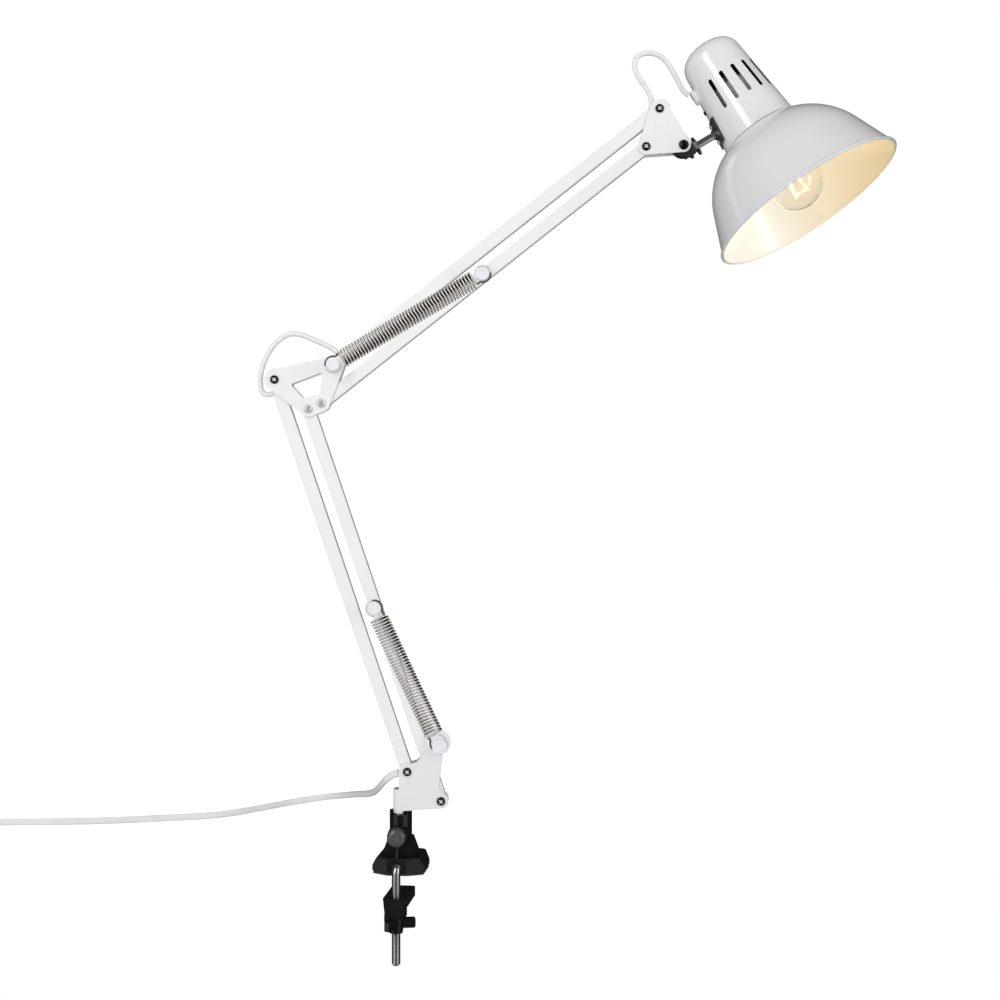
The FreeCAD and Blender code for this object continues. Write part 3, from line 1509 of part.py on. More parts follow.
def make_rocker():
    """Rocker of the inline switch: a shallow vee on top, a short pin at each side."""
    half = rocker_length / 2
    corners = [
        Vector(-half, 0, rocker_rise + rocker_depth / 2),
        Vector(0, 0, rocker_depth / 2),
        Vector(half, 0, rocker_rise + rocker_depth / 2),
        Vector(half, 0, 0),
        Vector(rocker_rise, 0, -rocker_depth / 2),
        Vector(-rocker_rise, 0, -rocker_depth / 2),
        Vector(-half, 0, 0),
    ]
    rocker = slab(Part.makePolygon(corners + corners[:1]), -rocker_width / 2, rocker_width)
    reach = Vector(0, rocker_width / 2 + rocker_play + rocker_pin_reach, 0)
    rocker = rocker.fuse(rod(rocker_pin_radius, -reach, reach))
    rocker.translate(rocker_pivot())
    return rocker


def make_plug(start):
    """Flat two-pin plug at the end of the cord, lying on the table."""
    half = plug_width / 2
    neck = half * plug_neck_share
    corners = [
        Vector(0, -neck, 0),
        Vector(plug_neck_length, -half, 0),
        Vector(plug_length, -half, 0),
        Vector(plug_length, half, 0),
        Vector(plug_neck_length, half, 0),
        Vector(0, neck, 0),
    ]
    radii = [plug_neck_corner, plug_corner, plug_corner, plug_corner, plug_corner, plug_neck_corner]
    body = Part.Face(rounded_wire(corners, radii)).extrude(Vector(0, 0, plug_height))
    edge = [e for e in body.Edges if e.BoundBox.ZLength < seat_gap]
    body = body.makeFillet(plug_corner / 2, edge)
    place = Vector(start.x + switch_end_gap, start.y, switch_end_gap)
    body.translate(place)
    pins = []
    for side in (-1, 1):
        base = place + Vector(plug_length - plug_pin_depth, side * plug_pin_step / 2, plug_height / 2)
        length = plug_pin_depth + plug_pin_length
        ahead = Vector(1, 0, 0)
        body = body.cut(rod(plug_pin_radius, base, base + ahead * length))
        pins.append(disc_with_edge(plug_pin_radius, length, plug_pin_radius / 2, base, ahead))
    return body, group(pins)


def main():
    """Builds every piece and writes it under its own name."""
    os.makedirs("parts", exist_ok=True)
    base_points = (base_first, base_second)
    dark_points = (elbow_first,)
    bright_points = (elbow_second, elbow_arm)
    head_points = (head_low, head_top)
    turning = sleeve_radius + run_fit
    opened = sleeve_radius + open_fit
    round_end = tube_width / 2
    full_round = round_end - round_relief
    hub_start = tube_width / 2 + anchor_hub_gap
    elbow_reach = plate_outer + nut_height
    elbow_low = placed(elbow_route_low, elbow_first)
    elbow_high = placed(elbow_route_high, elbow_first)
    head_low_run = placed(head_route_low, head_top)
    head_middle_run = placed(head_route_middle, head_top)
    seam = unit(head_middle_run[-1] - head_middle_run[-2])
    head_high_run = [head_middle_run[-1] + seam * cable_seam] + placed(head_route_high, tilt_point)
    mains_run = placed(cord_exit_route, base_first) + [Vector(*point) for point in cord_route]
    coil, coil_end = make_cord_coil()
    plug_body, plug_pins = make_plug(coil_end)
    nodes = {
        "clamp_body": make_clamp_body(),
        "foot_pad": make_foot_pad(),
        "clamp_rod": make_clamp_rod(),
        "thumb_screw_shank": make_thumb_shank(),
        "thumb_screw_knob": make_thumb_knob(),
        "clamp_jaw": make_clamp_jaw(),
        "clamp_wing_nut": make_wing_nut(),
        "stem_pin": make_stem_pin(),
        "base_bracket": make_base_bracket(),
        "base_pivot_screws": make_screws(base_points),
        "base_pivot_nuts": make_nuts(base_points),
        "base_pivot_bushes": make_sleeves(base_points),
        "lower_tube_outer": square_tube(
            base_first, lower_way, lower_arm_length, ((0, turning), (lower_arm_length, turning)),
            round_end, tube_end_reach, full_round, tube_end_corner),
        "lower_tube_inner": square_tube(
            base_second, lower_way, lower_arm_length,
            ((0, turning), (lower_spring_reach, anchor_radius), (lower_arm_length, opened)),
            round_end, round_end, full_round, full_round),
        "upper_tube_top": square_tube(
            elbow_spring, upper_rise, upper_arm_length,
            ((0, anchor_radius + run_fit), (upper_arm_length, opened)),
            round_end, tube_end_reach, full_round, tube_end_corner),
        "upper_tube_low": square_tube(
            elbow_arm, upper_rise, upper_arm_length,
            ((0, turning), (upper_spring_reach, anchor_radius), (upper_arm_length, turning)),
            round_end, round_end, full_round, full_round),
        "elbow_plates": group([elbow_plate(-plate_outer), elbow_plate(plate_inner)]),
        "elbow_screw_dark": make_screws(dark_points),
        "elbow_screws_bright": make_screws(bright_points),
        "elbow_nuts": make_nuts(dark_points + bright_points),
        "elbow_bushes": make_sleeves(dark_points + bright_points),
        "head_plates": group([head_plate(-plate_outer), head_plate(plate_inner)]),
        "head_plate_screws": make_screws(head_points),
        "head_plate_nuts": make_nuts(head_points),
        "head_plate_bushes": make_sleeves(head_points),
        "lower_spring_post": make_post(),
        "lower_spring_washer": make_post_washer(),
        "lower_spring_pin": anchor_pin(lower_anchor, round_end, anchor_hub_radius, hub_start),
        "upper_spring_pin": anchor_pin(upper_anchor, round_end, anchor_hub_radius, hub_start),
        "elbow_spring_pin": anchor_pin(elbow_spring, elbow_reach, anchor_hub_radius, plate_outer),
        "lower_spring": coil_spring(
            "lower_spring", post_point, lower_anchor,
            lower_spring_outer, lower_spring_turns, post_ring_shift),
        "upper_spring": coil_spring(
            "upper_spring", elbow_spring, upper_anchor,
            upper_spring_outer, upper_spring_turns, 0),
        "head_knuckle": make_knuckle(),
        "tilt_bolt": make_tilt_bolt(),
        "tilt_wing_nut": make_tilt_nut(),
        "stem_nut": make_stem_nut(),
        "stem_washer": make_stem_washer(),
        "head_stem": make_stem(),
        "housing_saddle": make_saddle(),
        "saddle_screws": make_saddle_screws(),
        "lamp_housing": make_lamp_housing(),
        "housing_screw": make_housing_screw(),
        "cable_grommet": make_grommet(),
        "shade_bowl": make_shade_bowl(),
        "lampholder": make_lampholder(),
        "shade_ring": make_holder_ring(),
        "bulb_glass": make_bulb_glass(),
        "bulb_cap": make_bulb_cap(),
        "bulb_filaments": make_bulb_filaments(),
        "elbow_cable_lower": tube_route("elbow_cable_lower", elbow_low, cable_radius),
        "elbow_cable_upper": tube_route("elbow_cable_upper", elbow_high, cable_radius),
        "head_cable_lower": tube_route("head_cable_lower", head_low_run, cable_radius),
        "head_cable_middle": tube_route("head_cable_middle", head_middle_run, cable_radius),
        "head_cable_upper": tube_route("head_cable_upper", head_high_run, cable_radius),
        "mains_cord": tube_route("mains_cord", mains_run, cord_radius),
        "cord_coil": coil,
        "switch_case": make_switch_case(),
        "switch_rocker": make_rocker(),
        "plug_body": plug_body,
        "plug_pins": plug_pins,
    }
    for name, shape in nodes.items():
        shape.exportStep("parts/" + name + ".step")
        print(name, len(shape.Solids), shape.isValid(), round(shape.Volume, 1))


main()
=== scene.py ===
import math

import bpy
import numpy as np
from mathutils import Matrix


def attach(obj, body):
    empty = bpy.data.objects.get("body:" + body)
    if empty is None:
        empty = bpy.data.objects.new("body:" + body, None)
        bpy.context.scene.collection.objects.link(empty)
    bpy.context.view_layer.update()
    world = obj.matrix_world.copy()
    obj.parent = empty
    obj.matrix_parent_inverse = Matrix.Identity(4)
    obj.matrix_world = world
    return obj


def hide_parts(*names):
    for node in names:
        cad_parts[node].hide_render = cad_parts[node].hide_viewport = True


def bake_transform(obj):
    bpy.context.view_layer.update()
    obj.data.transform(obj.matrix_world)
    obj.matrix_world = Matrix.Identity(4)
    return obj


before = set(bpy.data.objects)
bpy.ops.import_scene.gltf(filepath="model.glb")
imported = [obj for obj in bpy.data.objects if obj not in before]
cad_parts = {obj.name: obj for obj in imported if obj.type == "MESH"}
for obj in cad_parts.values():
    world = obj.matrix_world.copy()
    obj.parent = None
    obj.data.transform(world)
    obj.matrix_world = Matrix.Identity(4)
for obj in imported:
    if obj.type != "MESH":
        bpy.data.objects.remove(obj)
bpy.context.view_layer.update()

print("frame loaded:", len(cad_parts), "nodes")

mm = 0.001
scene = bpy.context.scene


def addToScene(name, data):
    thing = bpy.data.objects.new(name, data)
    scene.collection.objects.link(thing)
    return thing


# the camera is level and looks straight along +Y
cameraPlace = {
    "spot": (0.090, -1.2375, 0.326), "turn": (math.pi / 2, 0, 0), "lens": 54, "film": 36,
    "shift": (-0.010, -0.025),
}
cameraData = bpy.data.cameras.new("lampCamera")
cameraData.lens = cameraPlace["lens"]
cameraData.sensor_width = cameraPlace["film"]
cameraData.shift_x, cameraData.shift_y = cameraPlace["shift"]
camera = addToScene("lampCamera", cameraData)
camera.location = cameraPlace["spot"]
camera.rotation_euler = cameraPlace["turn"]
scene.camera = camera
print("camera placed")


# shared ways to make meshes
def unitRows(rows):
    return rows / np.linalg.norm(rows, axis=-1, keepdims=True)


def lengthOf(line):
    return float(np.linalg.norm(np.diff(line, axis=0), axis=1).sum())


def closedPiece(name, grid, length):
    # grid[i, j] is a point, with i along the piece and j round it: quads join neighbours,
    # and a flat face closes each end
    rows, columns = grid.shape[:2]
    index = np.arange(rows * columns).reshape(rows, columns)
    beside = np.roll(index, -1, axis=1)
    quads = np.stack([index[:-1], beside[:-1], beside[1:], index[1:]], axis=-1).reshape(-1, 4)
    ends = [index[0, ::-1].tolist(), index[-1].tolist()]
    mesh = bpy.data.meshes.new(name)
    mesh.from_pydata(grid.reshape(-1, 3).tolist(), [], quads.tolist() + ends)
    # u runs round the piece from 0 to 1, v along it in metres
    u, v = np.meshgrid(np.arange(columns) / columns, np.linspace(0, length, rows))
    layer = mesh.uv_layers.new(name="UVMap")
    corner = np.zeros(len(mesh.loops), np.int32)
    mesh.loops.foreach_get("vertex_index", corner)
    layer.data.foreach_set("uv", np.stack([u.ravel()[corner], v.ravel()[corner]], axis=-1).ravel())
    smooth = np.ones(len(mesh.polygons), bool)
    smooth[-len(ends):] = False
    mesh.polygons.foreach_set("use_smooth", smooth)
    mesh.update()
    return addToScene(name, mesh)


def wireAlong(name, line, reference, outline):
    # each point of the line carries the outline in the plane across the line: its first column
    # is measured along the reference direction, its second square to that
    ahead = unitRows(np.gradient(line, axis=0))
    reference = np.broadcast_to(np.asarray(reference, float), line.shape)
    upright = unitRows(reference - ahead * np.sum(reference * ahead, axis=1, keepdims=True))
    sideways = np.cross(ahead, upright)
    grid = (line[:, None, :] + upright[:, None, :] * outline[None, :, 0, None]
            + sideways[:, None, :] * outline[None, :, 1, None])
    return closedPiece(name, grid, lengthOf(line))


def roundOutline(radius, sides):
    # cosine and sine of an evenly growing angle, times the radius
    turn = np.arange(sides) * 2 * np.pi / sides
    return np.stack([np.cos(turn), np.sin(turn)], axis=-1) * radius


def smoothLine(name, points, fineness):
    # a quadratic NURBS line that starts and ends on its first and last control point
    curve = bpy.data.curves.new(name, "CURVE")
    curve.dimensions = "3D"
    curve.resolution_u = fineness
    spline = curve.splines.new("NURBS")
    spline.points.add(len(points) - 1)
    spline.points.foreach_set("co", np.hstack([points, np.ones((len(points), 1))]).ravel())
    spline.order_u = 3
    spline.use_endpoint_u = True
    holder = addToScene(name, curve)
    bpy.context.view_layer.update()
    graph = bpy.context.evaluated_depsgraph_get()
    mesh = bpy.data.meshes.new_from_object(holder.evaluated_get(graph))
    line = np.zeros(len(mesh.vertices) * 3)
    mesh.vertices.foreach_get("co", line)
    bpy.data.objects.remove(holder)
    bpy.data.curves.remove(curve)
    bpy.data.meshes.remove(mesh)
    return line.reshape(-1, 3)


# shared ways to join shader nodes
def feed(tree, value, socket):
    # a number or a tuple is set on the socket, another node's output is linked to it
    if isinstance(value, (int, float, tuple)):
        socket.default_value = value
    else:
        tree.links.new(value, socket)


def mathNode(tree, operation, *values):
    node = tree.nodes.new("ShaderNodeMath")
    node.operation = operation
    for socket, value in zip(node.inputs, values):
        feed(tree, value, socket)
    return node.outputs[0]


def rangeNode(tree, value, fromLow, fromHigh, toLow, toHigh, interpolation="LINEAR"):
    node = tree.nodes.new("ShaderNodeMapRange")
    node.interpolation_type = interpolation
    levels = {"From Min": fromLow, "From Max": fromHigh, "To Min": toLow, "To Max": toHigh}
    for key, amount in levels.items():
        feed(tree, amount, node.inputs[key])
    feed(tree, value, node.inputs["Value"])
    return node.outputs["Result"]


class Finish:
    def __init__(self, name):
        self.material = bpy.data.materials.new(name)
        self.material.use_nodes = True
        self.tree = self.material.node_tree
        self.shader = self.tree.nodes["Principled BSDF"]
        self.place = self.tree.nodes.new("ShaderNodeTexCoord").outputs

    def noise(self, scale, detail, stretch=(1, 1, 1), turn=(0, 0, 0)):
        mapping = self.tree.nodes.new("ShaderNodeMapping")
        grain = self.tree.nodes.new("ShaderNodeTexNoise")
        for value, socket in (
            (self.place["Object"], mapping.inputs["Vector"]), (stretch, mapping.inputs["Scale"]),
            (turn, mapping.inputs["Rotation"]), (mapping.outputs["Vector"], grain.inputs["Vector"]),
            (scale, grain.inputs["Scale"]), (detail, grain.inputs["Detail"]),
        ):
            feed(self.tree, value, socket)
        return grain.outputs["Fac"]

    def spread(self, value, fromLow, fromHigh, toLow, toHigh):
        return rangeNode(self.tree, value, fromLow, fromHigh, toLow, toHigh)

    def share(self, value, low=0.3, high=0.7):
        # how far the value lies between the two levels, from 0 to 1
        return self.spread(value, low, high, 0, 1)

    def mixed(self, factor, first, second):
        node = self.tree.nodes.new("ShaderNodeMix")
        node.data_type = "RGBA"
        # 6 and 7 are the node's two colours, output 2 is the mixed one
        for socket, value in ((node.inputs[6], first), (node.inputs[7], second)):
            feed(self.tree, (*value, 1) if isinstance(value, tuple) else value, socket)
        feed(self.tree, factor, node.inputs[0])
        return node.outputs[2]

    def maths(self, operation, *values):
        return mathNode(self.tree, operation, *values)

    def vector(self, operation, first, second):
        node = self.tree.nodes.new("ShaderNodeVectorMath")
        node.operation = operation
        feed(self.tree, first, node.inputs[0])
        feed(self.tree, second, node.inputs[1])
        return node.outputs["Value" if operation == "DOT_PRODUCT" else "Vector"]

    def parts(self, value):
        node = self.tree.nodes.new("ShaderNodeSeparateXYZ")
        feed(self.tree, value, node.inputs[0])
        return node.outputs

    def colour(self, value):
        feed(self.tree, value, self.shader.inputs["Base Color"])

    def dulled(self, value, band, look):
        # roughness from the look's gloss, dulled as the value rises through the band
        rough = self.spread(value, *band, look["gloss"], look["gloss"] + look["dulling"])
        feed(self.tree, rough, self.shader.inputs["Roughness"])

    def bump(self, height, distance, strength):
        node = self.tree.nodes.new("ShaderNodeBump")
        feed(self.tree, distance, node.inputs["Distance"])
        feed(self.tree, strength, node.inputs["Strength"])
        feed(self.tree, height, node.inputs["Height"])
        feed(self.tree, node.outputs["Normal"], self.shader.inputs["Normal"])

    def fixed(self, **values):
        for key, value in values.items():
            self.shader.inputs[key.replace("_", " ")].default_value = value


# sprayed gloss paint
enamelSkin = {
    "cloudDetail": 3, "dustDetail": 6, "dustBand": (0.35, 0.75), "peelDetail": 2,
    "peelStrength": 0.6, "coatRoughness": 0.06,
}
armLook = {
    "light": (0.86, 0.86, 0.866), "shade": (0.825, 0.826, 0.834), "gloss": 0.20, "dulling": 0.10,
    "coat": 0.5, "cloudScale": 16, "dustScale": 120, "peelScale": 150, "peelHeight": 0.000012,
}
bracketLook = dict(armLook, light=(0.80, 0.797, 0.803), shade=(0.76, 0.758, 0.765), gloss=0.28,
                   coat=0.3)
plateLook = dict(armLook, light=(0.85, 0.85, 0.856), shade=(0.815, 0.815, 0.823), gloss=0.24,
                 coat=0.4)


def enamelSurface(finish, look):
    # dust that dulls the gloss a little, soft orange peel, a clear coat
    skin = enamelSkin
    finish.dulled(finish.noise(look["dustScale"], skin["dustDetail"]), skin["dustBand"], look)
    peel = finish.noise(look["peelScale"], skin["peelDetail"])
    finish.bump(peel, look["peelHeight"], skin["peelStrength"])
    finish.fixed(Coat_Weight=look["coat"], Coat_Roughness=skin["coatRoughness"])


def enamel(name, look):
    finish = Finish(name)
    cloud = finish.noise(look["cloudScale"], enamelSkin["cloudDetail"])
    finish.colour(finish.mixed(finish.share(cloud), look["light"], look["shade"]))
    enamelSurface(finish, look)
    return finish.material


# the shade and its housing, white outside; the shade's lining is cream paint under painted warm
# light from the bulb, painted darker and warmer towards +X, and the housing's inside is painted
# near-black: painted shade behind its slots
shadePlace = {"seam": (0.29663, -0.00408, 0.60664), "down": (0.50378, -0.20791, -0.83844)}
shadeLook = {
    "outer": (0.73, 0.73, 0.737), "outerShade": (0.705, 0.705, 0.714),
    # the lining's colours are cream paint with painted warm light, going darker and warmer towards
    # +X
    "inner": (0.955, 0.945, 0.895), "innerPaintedShade": (0.88, 0.74, 0.49),
    "liningEdge": 0.001, "paintedWarmBand": (0.018, 0.098), "wander": 0.006, "gloss": 0.13, "dulling": 0.10,
    "coat": 0.35, "cloudScale": 9, "dustScale": 90, "peelScale": 110, "peelHeight": 0.00002,
}
# the housing's near-black inside is painted shade seen through its slots
housingLook = dict(shadeLook, outer=(0.77, 0.77, 0.777), outerShade=(0.74, 0.74, 0.747),
                   inner=(0.012, 0.012, 0.012), innerPaintedShade=(0.02, 0.02, 0.02))


def shadeEnamel(name, look):
    # a point belongs to the lining where its surface faces the shade's own axis
    finish = Finish(name)
    toSeam = finish.vector("SUBTRACT", finish.place["Object"], shadePlace["seam"])
    depth = finish.vector("PROJECT", toSeam, shadePlace["down"])
    outward = finish.vector("SUBTRACT", toSeam, depth)
    facing = finish.vector("DOT_PRODUCT", outward, finish.place["Normal"])
    inside = finish.spread(facing, -look["liningEdge"], look["liningEdge"], 1, 0)
    cloud = finish.share(finish.noise(look["cloudScale"], enamelSkin["cloudDetail"]))
    outer = finish.mixed(cloud, look["outer"], look["outerShade"])
    # painted warm light and shade: the lining turns from cream to a darker, warmer tan along X
    wandering = finish.maths("MULTIPLY", cloud, look["wander"])
    across = finish.maths("ADD", finish.parts(toSeam)["X"], wandering)
    inner = finish.mixed(finish.share(across, *look["paintedWarmBand"]), look["inner"], look["innerPaintedShade"])
    finish.colour(finish.mixed(inside, outer, inner))
    enamelSurface(finish, look)
    return finish.material


# moulded plastic, rubber and cord sheath
mouldedSkin = {
    "cloudDetail": 5, "scuffDetail": 8, "scuffStretch": (1, 1, 0.25), "scuffTurn": (0.3, 0.5, 0.2),
    "scuffBand": (0.62, 0.72), "dullBand": (0.3, 1.0), "grainDetail": 3, "grainStrength": 0.7,
    "coatRoughness": 0.1,
}
clampLook = {
    "light": (0.0025, 0.0025, 0.0027), "shade": (0.005, 0.005, 0.0053),
    "scuff": (0.02, 0.02, 0.021), "scuffShare": 0.15, "gloss": 0.20, "dulling": 0.20,
    "cloudScale": 60, "scuffScale": 210, "grainScale": 420, "grainHeight": 0.000025, "coat": 0.25,
}
knobLook = dict(clampLook, light=(0.05, 0.05, 0.051), shade=(0.075, 0.075, 0.076), gloss=0.30,
                coat=0.6)
rubberLook = dict(clampLook, light=(0.012, 0.012, 0.012), shade=(0.018, 0.018, 0.018), gloss=0.62,
                  grainHeight=0.0001, coat=0, scuffShare=0.5)
knuckleLook = dict(clampLook, light=(0.016, 0.016, 0.017), shade=(0.028, 0.028, 0.029), gloss=0.32,
                   coat=0)
holderLook = {
    "light": (0.80, 0.79, 0.76), "shade": (0.72, 0.71, 0.68), "scuff": (0.5, 0.48, 0.45),
    "scuffShare": 0.15, "gloss": 0.3, "dulling": 0.2, "cloudScale": 80, "scuffScale": 300,
    "grainScale": 500, "grainHeight": 0.00002, "coat": 0,
}
cordLook = dict(holderLook, light=(0.82, 0.82, 0.825), shade=(0.77, 0.77, 0.778), scuffShare=0.03,
                grainHeight=0.000006)
bushLook = dict(holderLook, light=(0.80, 0.80, 0.80), shade=(0.72, 0.72, 0.72), gloss=0.38)


def moulded(name, look):
    # fine spark-eroded grain, gloss that varies, light handling scuffs
    finish, skin = Finish(name), mouldedSkin
    cloud = finish.noise(look["cloudScale"], skin["cloudDetail"])
    scuff = finish.noise(look["scuffScale"], skin["scuffDetail"], stretch=skin["scuffStretch"],
                         turn=skin["scuffTurn"])
    scuffShare = finish.spread(scuff, *skin["scuffBand"], 0, look["scuffShare"])
    base = finish.mixed(finish.share(cloud), look["light"], look["shade"])
    finish.colour(finish.mixed(scuffShare, base, look["scuff"]))
    finish.dulled(finish.maths("ADD", cloud, scuffShare), skin["dullBand"], look)
    grain = finish.noise(look["grainScale"], skin["grainDetail"])
    finish.bump(grain, look["grainHeight"], skin["grainStrength"])
    finish.fixed(Coat_Weight=look["coat"], Coat_Roughness=skin["coatRoughness"])
    return finish.material


# plated and drawn metal; the black screws carry a painted highlight, pale and not metallic, in their
# cross recesses, whose axes, radius and face are in millimetres
platedSkin = {
    "streakDetail": 6, "mottleDetail": 5, "mottleBand": (0.35, 0.65), "streakBand": (0.45, 0.75),
    "dullBand": (0.7, 1.3), "streakStrength": 0.5,
}
chromeLook = {
    "light": (0.72, 0.72, 0.72), "shade": (0.52, 0.52, 0.52), "streakTint": (0.30, 0.30, 0.30),
    "streakShare": 0.5, "gloss": 0.12, "dulling": 0.18, "streakScale": 900, "mottleScale": 130,
    "stretch": (1, 1, 0.06), "streakHeight": 0.00001, "metal": 1.0,
}
zincLook = {
    "light": (0.88, 0.89, 0.92), "shade": (0.80, 0.82, 0.86), "streakTint": (0.92, 0.92, 0.91),
    "streakShare": 0.3, "gloss": 0.30, "dulling": 0.2, "streakScale": 400, "mottleScale": 200,
    "stretch": (1, 1, 1), "streakHeight": 0.000008, "metal": 0.12,
}
# painted highlight in the screws' cross recesses; its tint is the highlight's colour
screwRecessHighlight = {
    "axes": [(5.6, 82.3), (33.3, 58.2), (-103.4, 404.4), (212.8, 626.9), (201.8, 595.7)],
    "radius": 2.1, "face": -8.2, "tint": (0.90, 0.90, 0.89),
}
blackScrewLook = dict(zincLook, light=(0.014, 0.014, 0.015), shade=(0.028, 0.028, 0.029),
                      streakTint=(0.13, 0.13, 0.135), gloss=0.22, metal=0.85, recess=screwRecessHighlight)
nickelLook = dict(zincLook, light=(0.84, 0.83, 0.81), shade=(0.70, 0.69, 0.67), gloss=0.2,
                  metal=0.45)
saddleLook = dict(zincLook, light=(0.30, 0.30, 0.305), shade=(0.16, 0.16, 0.165),
                  streakTint=(0.50, 0.50, 0.51), gloss=0.26, metal=0.95)
capLook = dict(zincLook, light=(0.78, 0.76, 0.72), shade=(0.60, 0.57, 0.52), gloss=0.2, metal=1.0)


def inRecess(finish, recess):
    # 1 near a screw's axis and behind the face of its head, 0 elsewhere
    place = finish.parts(finish.place["Object"])
    nearest = 1.0
    for x, z in recess["axes"]:
        aside = finish.maths("SUBTRACT", place["X"], x * mm)
        above = finish.maths("SUBTRACT", place["Z"], z * mm)
        squares = finish.maths("ADD", finish.maths("MULTIPLY", aside, aside),
                               finish.maths("MULTIPLY", above, above))
        nearest = finish.maths("MINIMUM", nearest, finish.maths("SQRT", squares))
    near = finish.maths("LESS_THAN", nearest, recess["radius"] * mm)
    behind = finish.maths("GREATER_THAN", place["Y"], recess["face"] * mm)
    return finish.maths("MULTIPLY", near, behind)


def plated(name, look):
    # streaks along one direction, mottled tint, faint pits
    finish, skin = Finish(name), platedSkin
    streak = finish.noise(look["streakScale"], skin["streakDetail"], stretch=look["stretch"])
    mottle = finish.noise(look["mottleScale"], skin["mottleDetail"])
    tint = finish.mixed(finish.share(mottle, *skin["mottleBand"]), look["light"], look["shade"])
    streaked = finish.spread(streak, *skin["streakBand"], 0, look["streakShare"])
    streaksAndPaintedHighlight = finish.mixed(streaked, tint, look["streakTint"])
    finish.fixed(Metallic=look["metal"])
    # painted highlight: pale, not metallic colour inside the black screws' cross recesses
    if "recess" in look:
        recess = inRecess(finish, look["recess"])
        streaksAndPaintedHighlight = finish.mixed(recess, streaksAndPaintedHighlight, look["recess"]["tint"])
        metal = finish.spread(recess, 0, 1, look["metal"], 0)
        feed(finish.tree, metal, finish.shader.inputs["Metallic"])
    finish.colour(streaksAndPaintedHighlight)
    finish.dulled(finish.maths("ADD", streak, mottle), skin["dullBand"], look)
    finish.bump(streak, look["streakHeight"], skin["streakStrength"])
    return finish.material


# spring wire: pale where it faces outwards and painted near-black brown on its sides and inside the
# turns, painted highlight and painted shade; bright all round for the length of a ring at each end
springLook = {
    "light": (0.95, 0.92, 0.88), "shade": (0.86, 0.82, 0.77), "paintedFlankShade": (0.020, 0.012, 0.008),
    "gloss": 0.22, "dulling": 0.15, "mottleScale": 90, "mottleDetail": 5,
    "mottleBand": (0.35, 0.65), "dullBand": (0.3, 0.7), "metal": 0.45, "ringEnd": 0.045,
    "crown": 0.96, "fullShadeBelow": 0.64,
}


def springSteel(name, look, wireLength):
    # the sine of a turn's u is 1 on the wire's outer side; v is the length along the wire
    finish = Finish(name)
    place = finish.parts(finish.place["UV"])
    outward = finish.maths("SINE", finish.maths("MULTIPLY", place["X"], 2 * math.pi))
    # painted shade: 1 on the wire's sides and inside the turns, fading to 0 where it faces outwards
    paintedFlankShade = finish.spread(outward, look["fullShadeBelow"], look["crown"], 1, 0)
    toFarEnd = finish.maths("SUBTRACT", wireLength, place["Y"])
    fromEnd = finish.maths("MINIMUM", place["Y"], toFarEnd)
    wound = finish.maths("GREATER_THAN", fromEnd, look["ringEnd"])
    mottle = finish.noise(look["mottleScale"], look["mottleDetail"])
    bright = finish.mixed(finish.share(mottle, *look["mottleBand"]), look["light"], look["shade"])
    finish.colour(finish.mixed(finish.maths("MULTIPLY", paintedFlankShade, wound), bright, look["paintedFlankShade"]))
    finish.dulled(mottle, look["dullBand"], look)
    finish.fixed(Metallic=look["metal"])
    return finish.material


# bulb: thin blown glass with faint waves and a little dust, and yellow strips that glow softly
glassLook = {
    "light": (1.0, 1.0, 1.0), "shade": (0.97, 0.95, 0.90), "gloss": 0.0, "dulling": 0.12,
    "dustScale": 400, "dustDetail": 6, "dustBand": (0.5, 0.8), "waveScale": 60, "waveDetail": 2,
    "waveHeight": 0.0001, "waveStrength": 0.3, "refraction": 1.45, "shine": 0.6,
}
stripLook = {
    "light": (0.90, 0.62, 0.22), "shade": (0.96, 0.76, 0.36), "gloss": 0.35, "dulling": 0.25,
    "grainScale": 1500, "grainDetail": 5, "dullBand": (0.3, 0.7), "grainHeight": 0.0001,
    "grainStrength": 0.5, "glow": (1.0, 0.86, 0.62), "glowStrength": 0.55,
}


def clearGlass(name, look):
    finish = Finish(name)
    dust = finish.noise(look["dustScale"], look["dustDetail"])
    finish.dulled(dust, look["dustBand"], look)
    finish.colour(finish.mixed(finish.share(dust), look["light"], look["shade"]))
    wave = finish.noise(look["waveScale"], look["waveDetail"])
    finish.bump(wave, look["waveHeight"], look["waveStrength"])
    finish.fixed(Transmission_Weight=1.0, IOR=look["refraction"], Specular_IOR_Level=look["shine"])
    return finish.material


def glowingStrip(name, look):
    finish = Finish(name)
    grain = finish.noise(look["grainScale"], look["grainDetail"])
    finish.colour(finish.mixed(finish.share(grain), look["light"], look["shade"]))
    finish.dulled(grain, look["dullBand"], look)
    finish.bump(grain, look["grainHeight"], look["grainStrength"])
    finish.fixed(Emission_Color=(*look["glow"], 1), Emission_Strength=look["glowStrength"])
    return finish.material


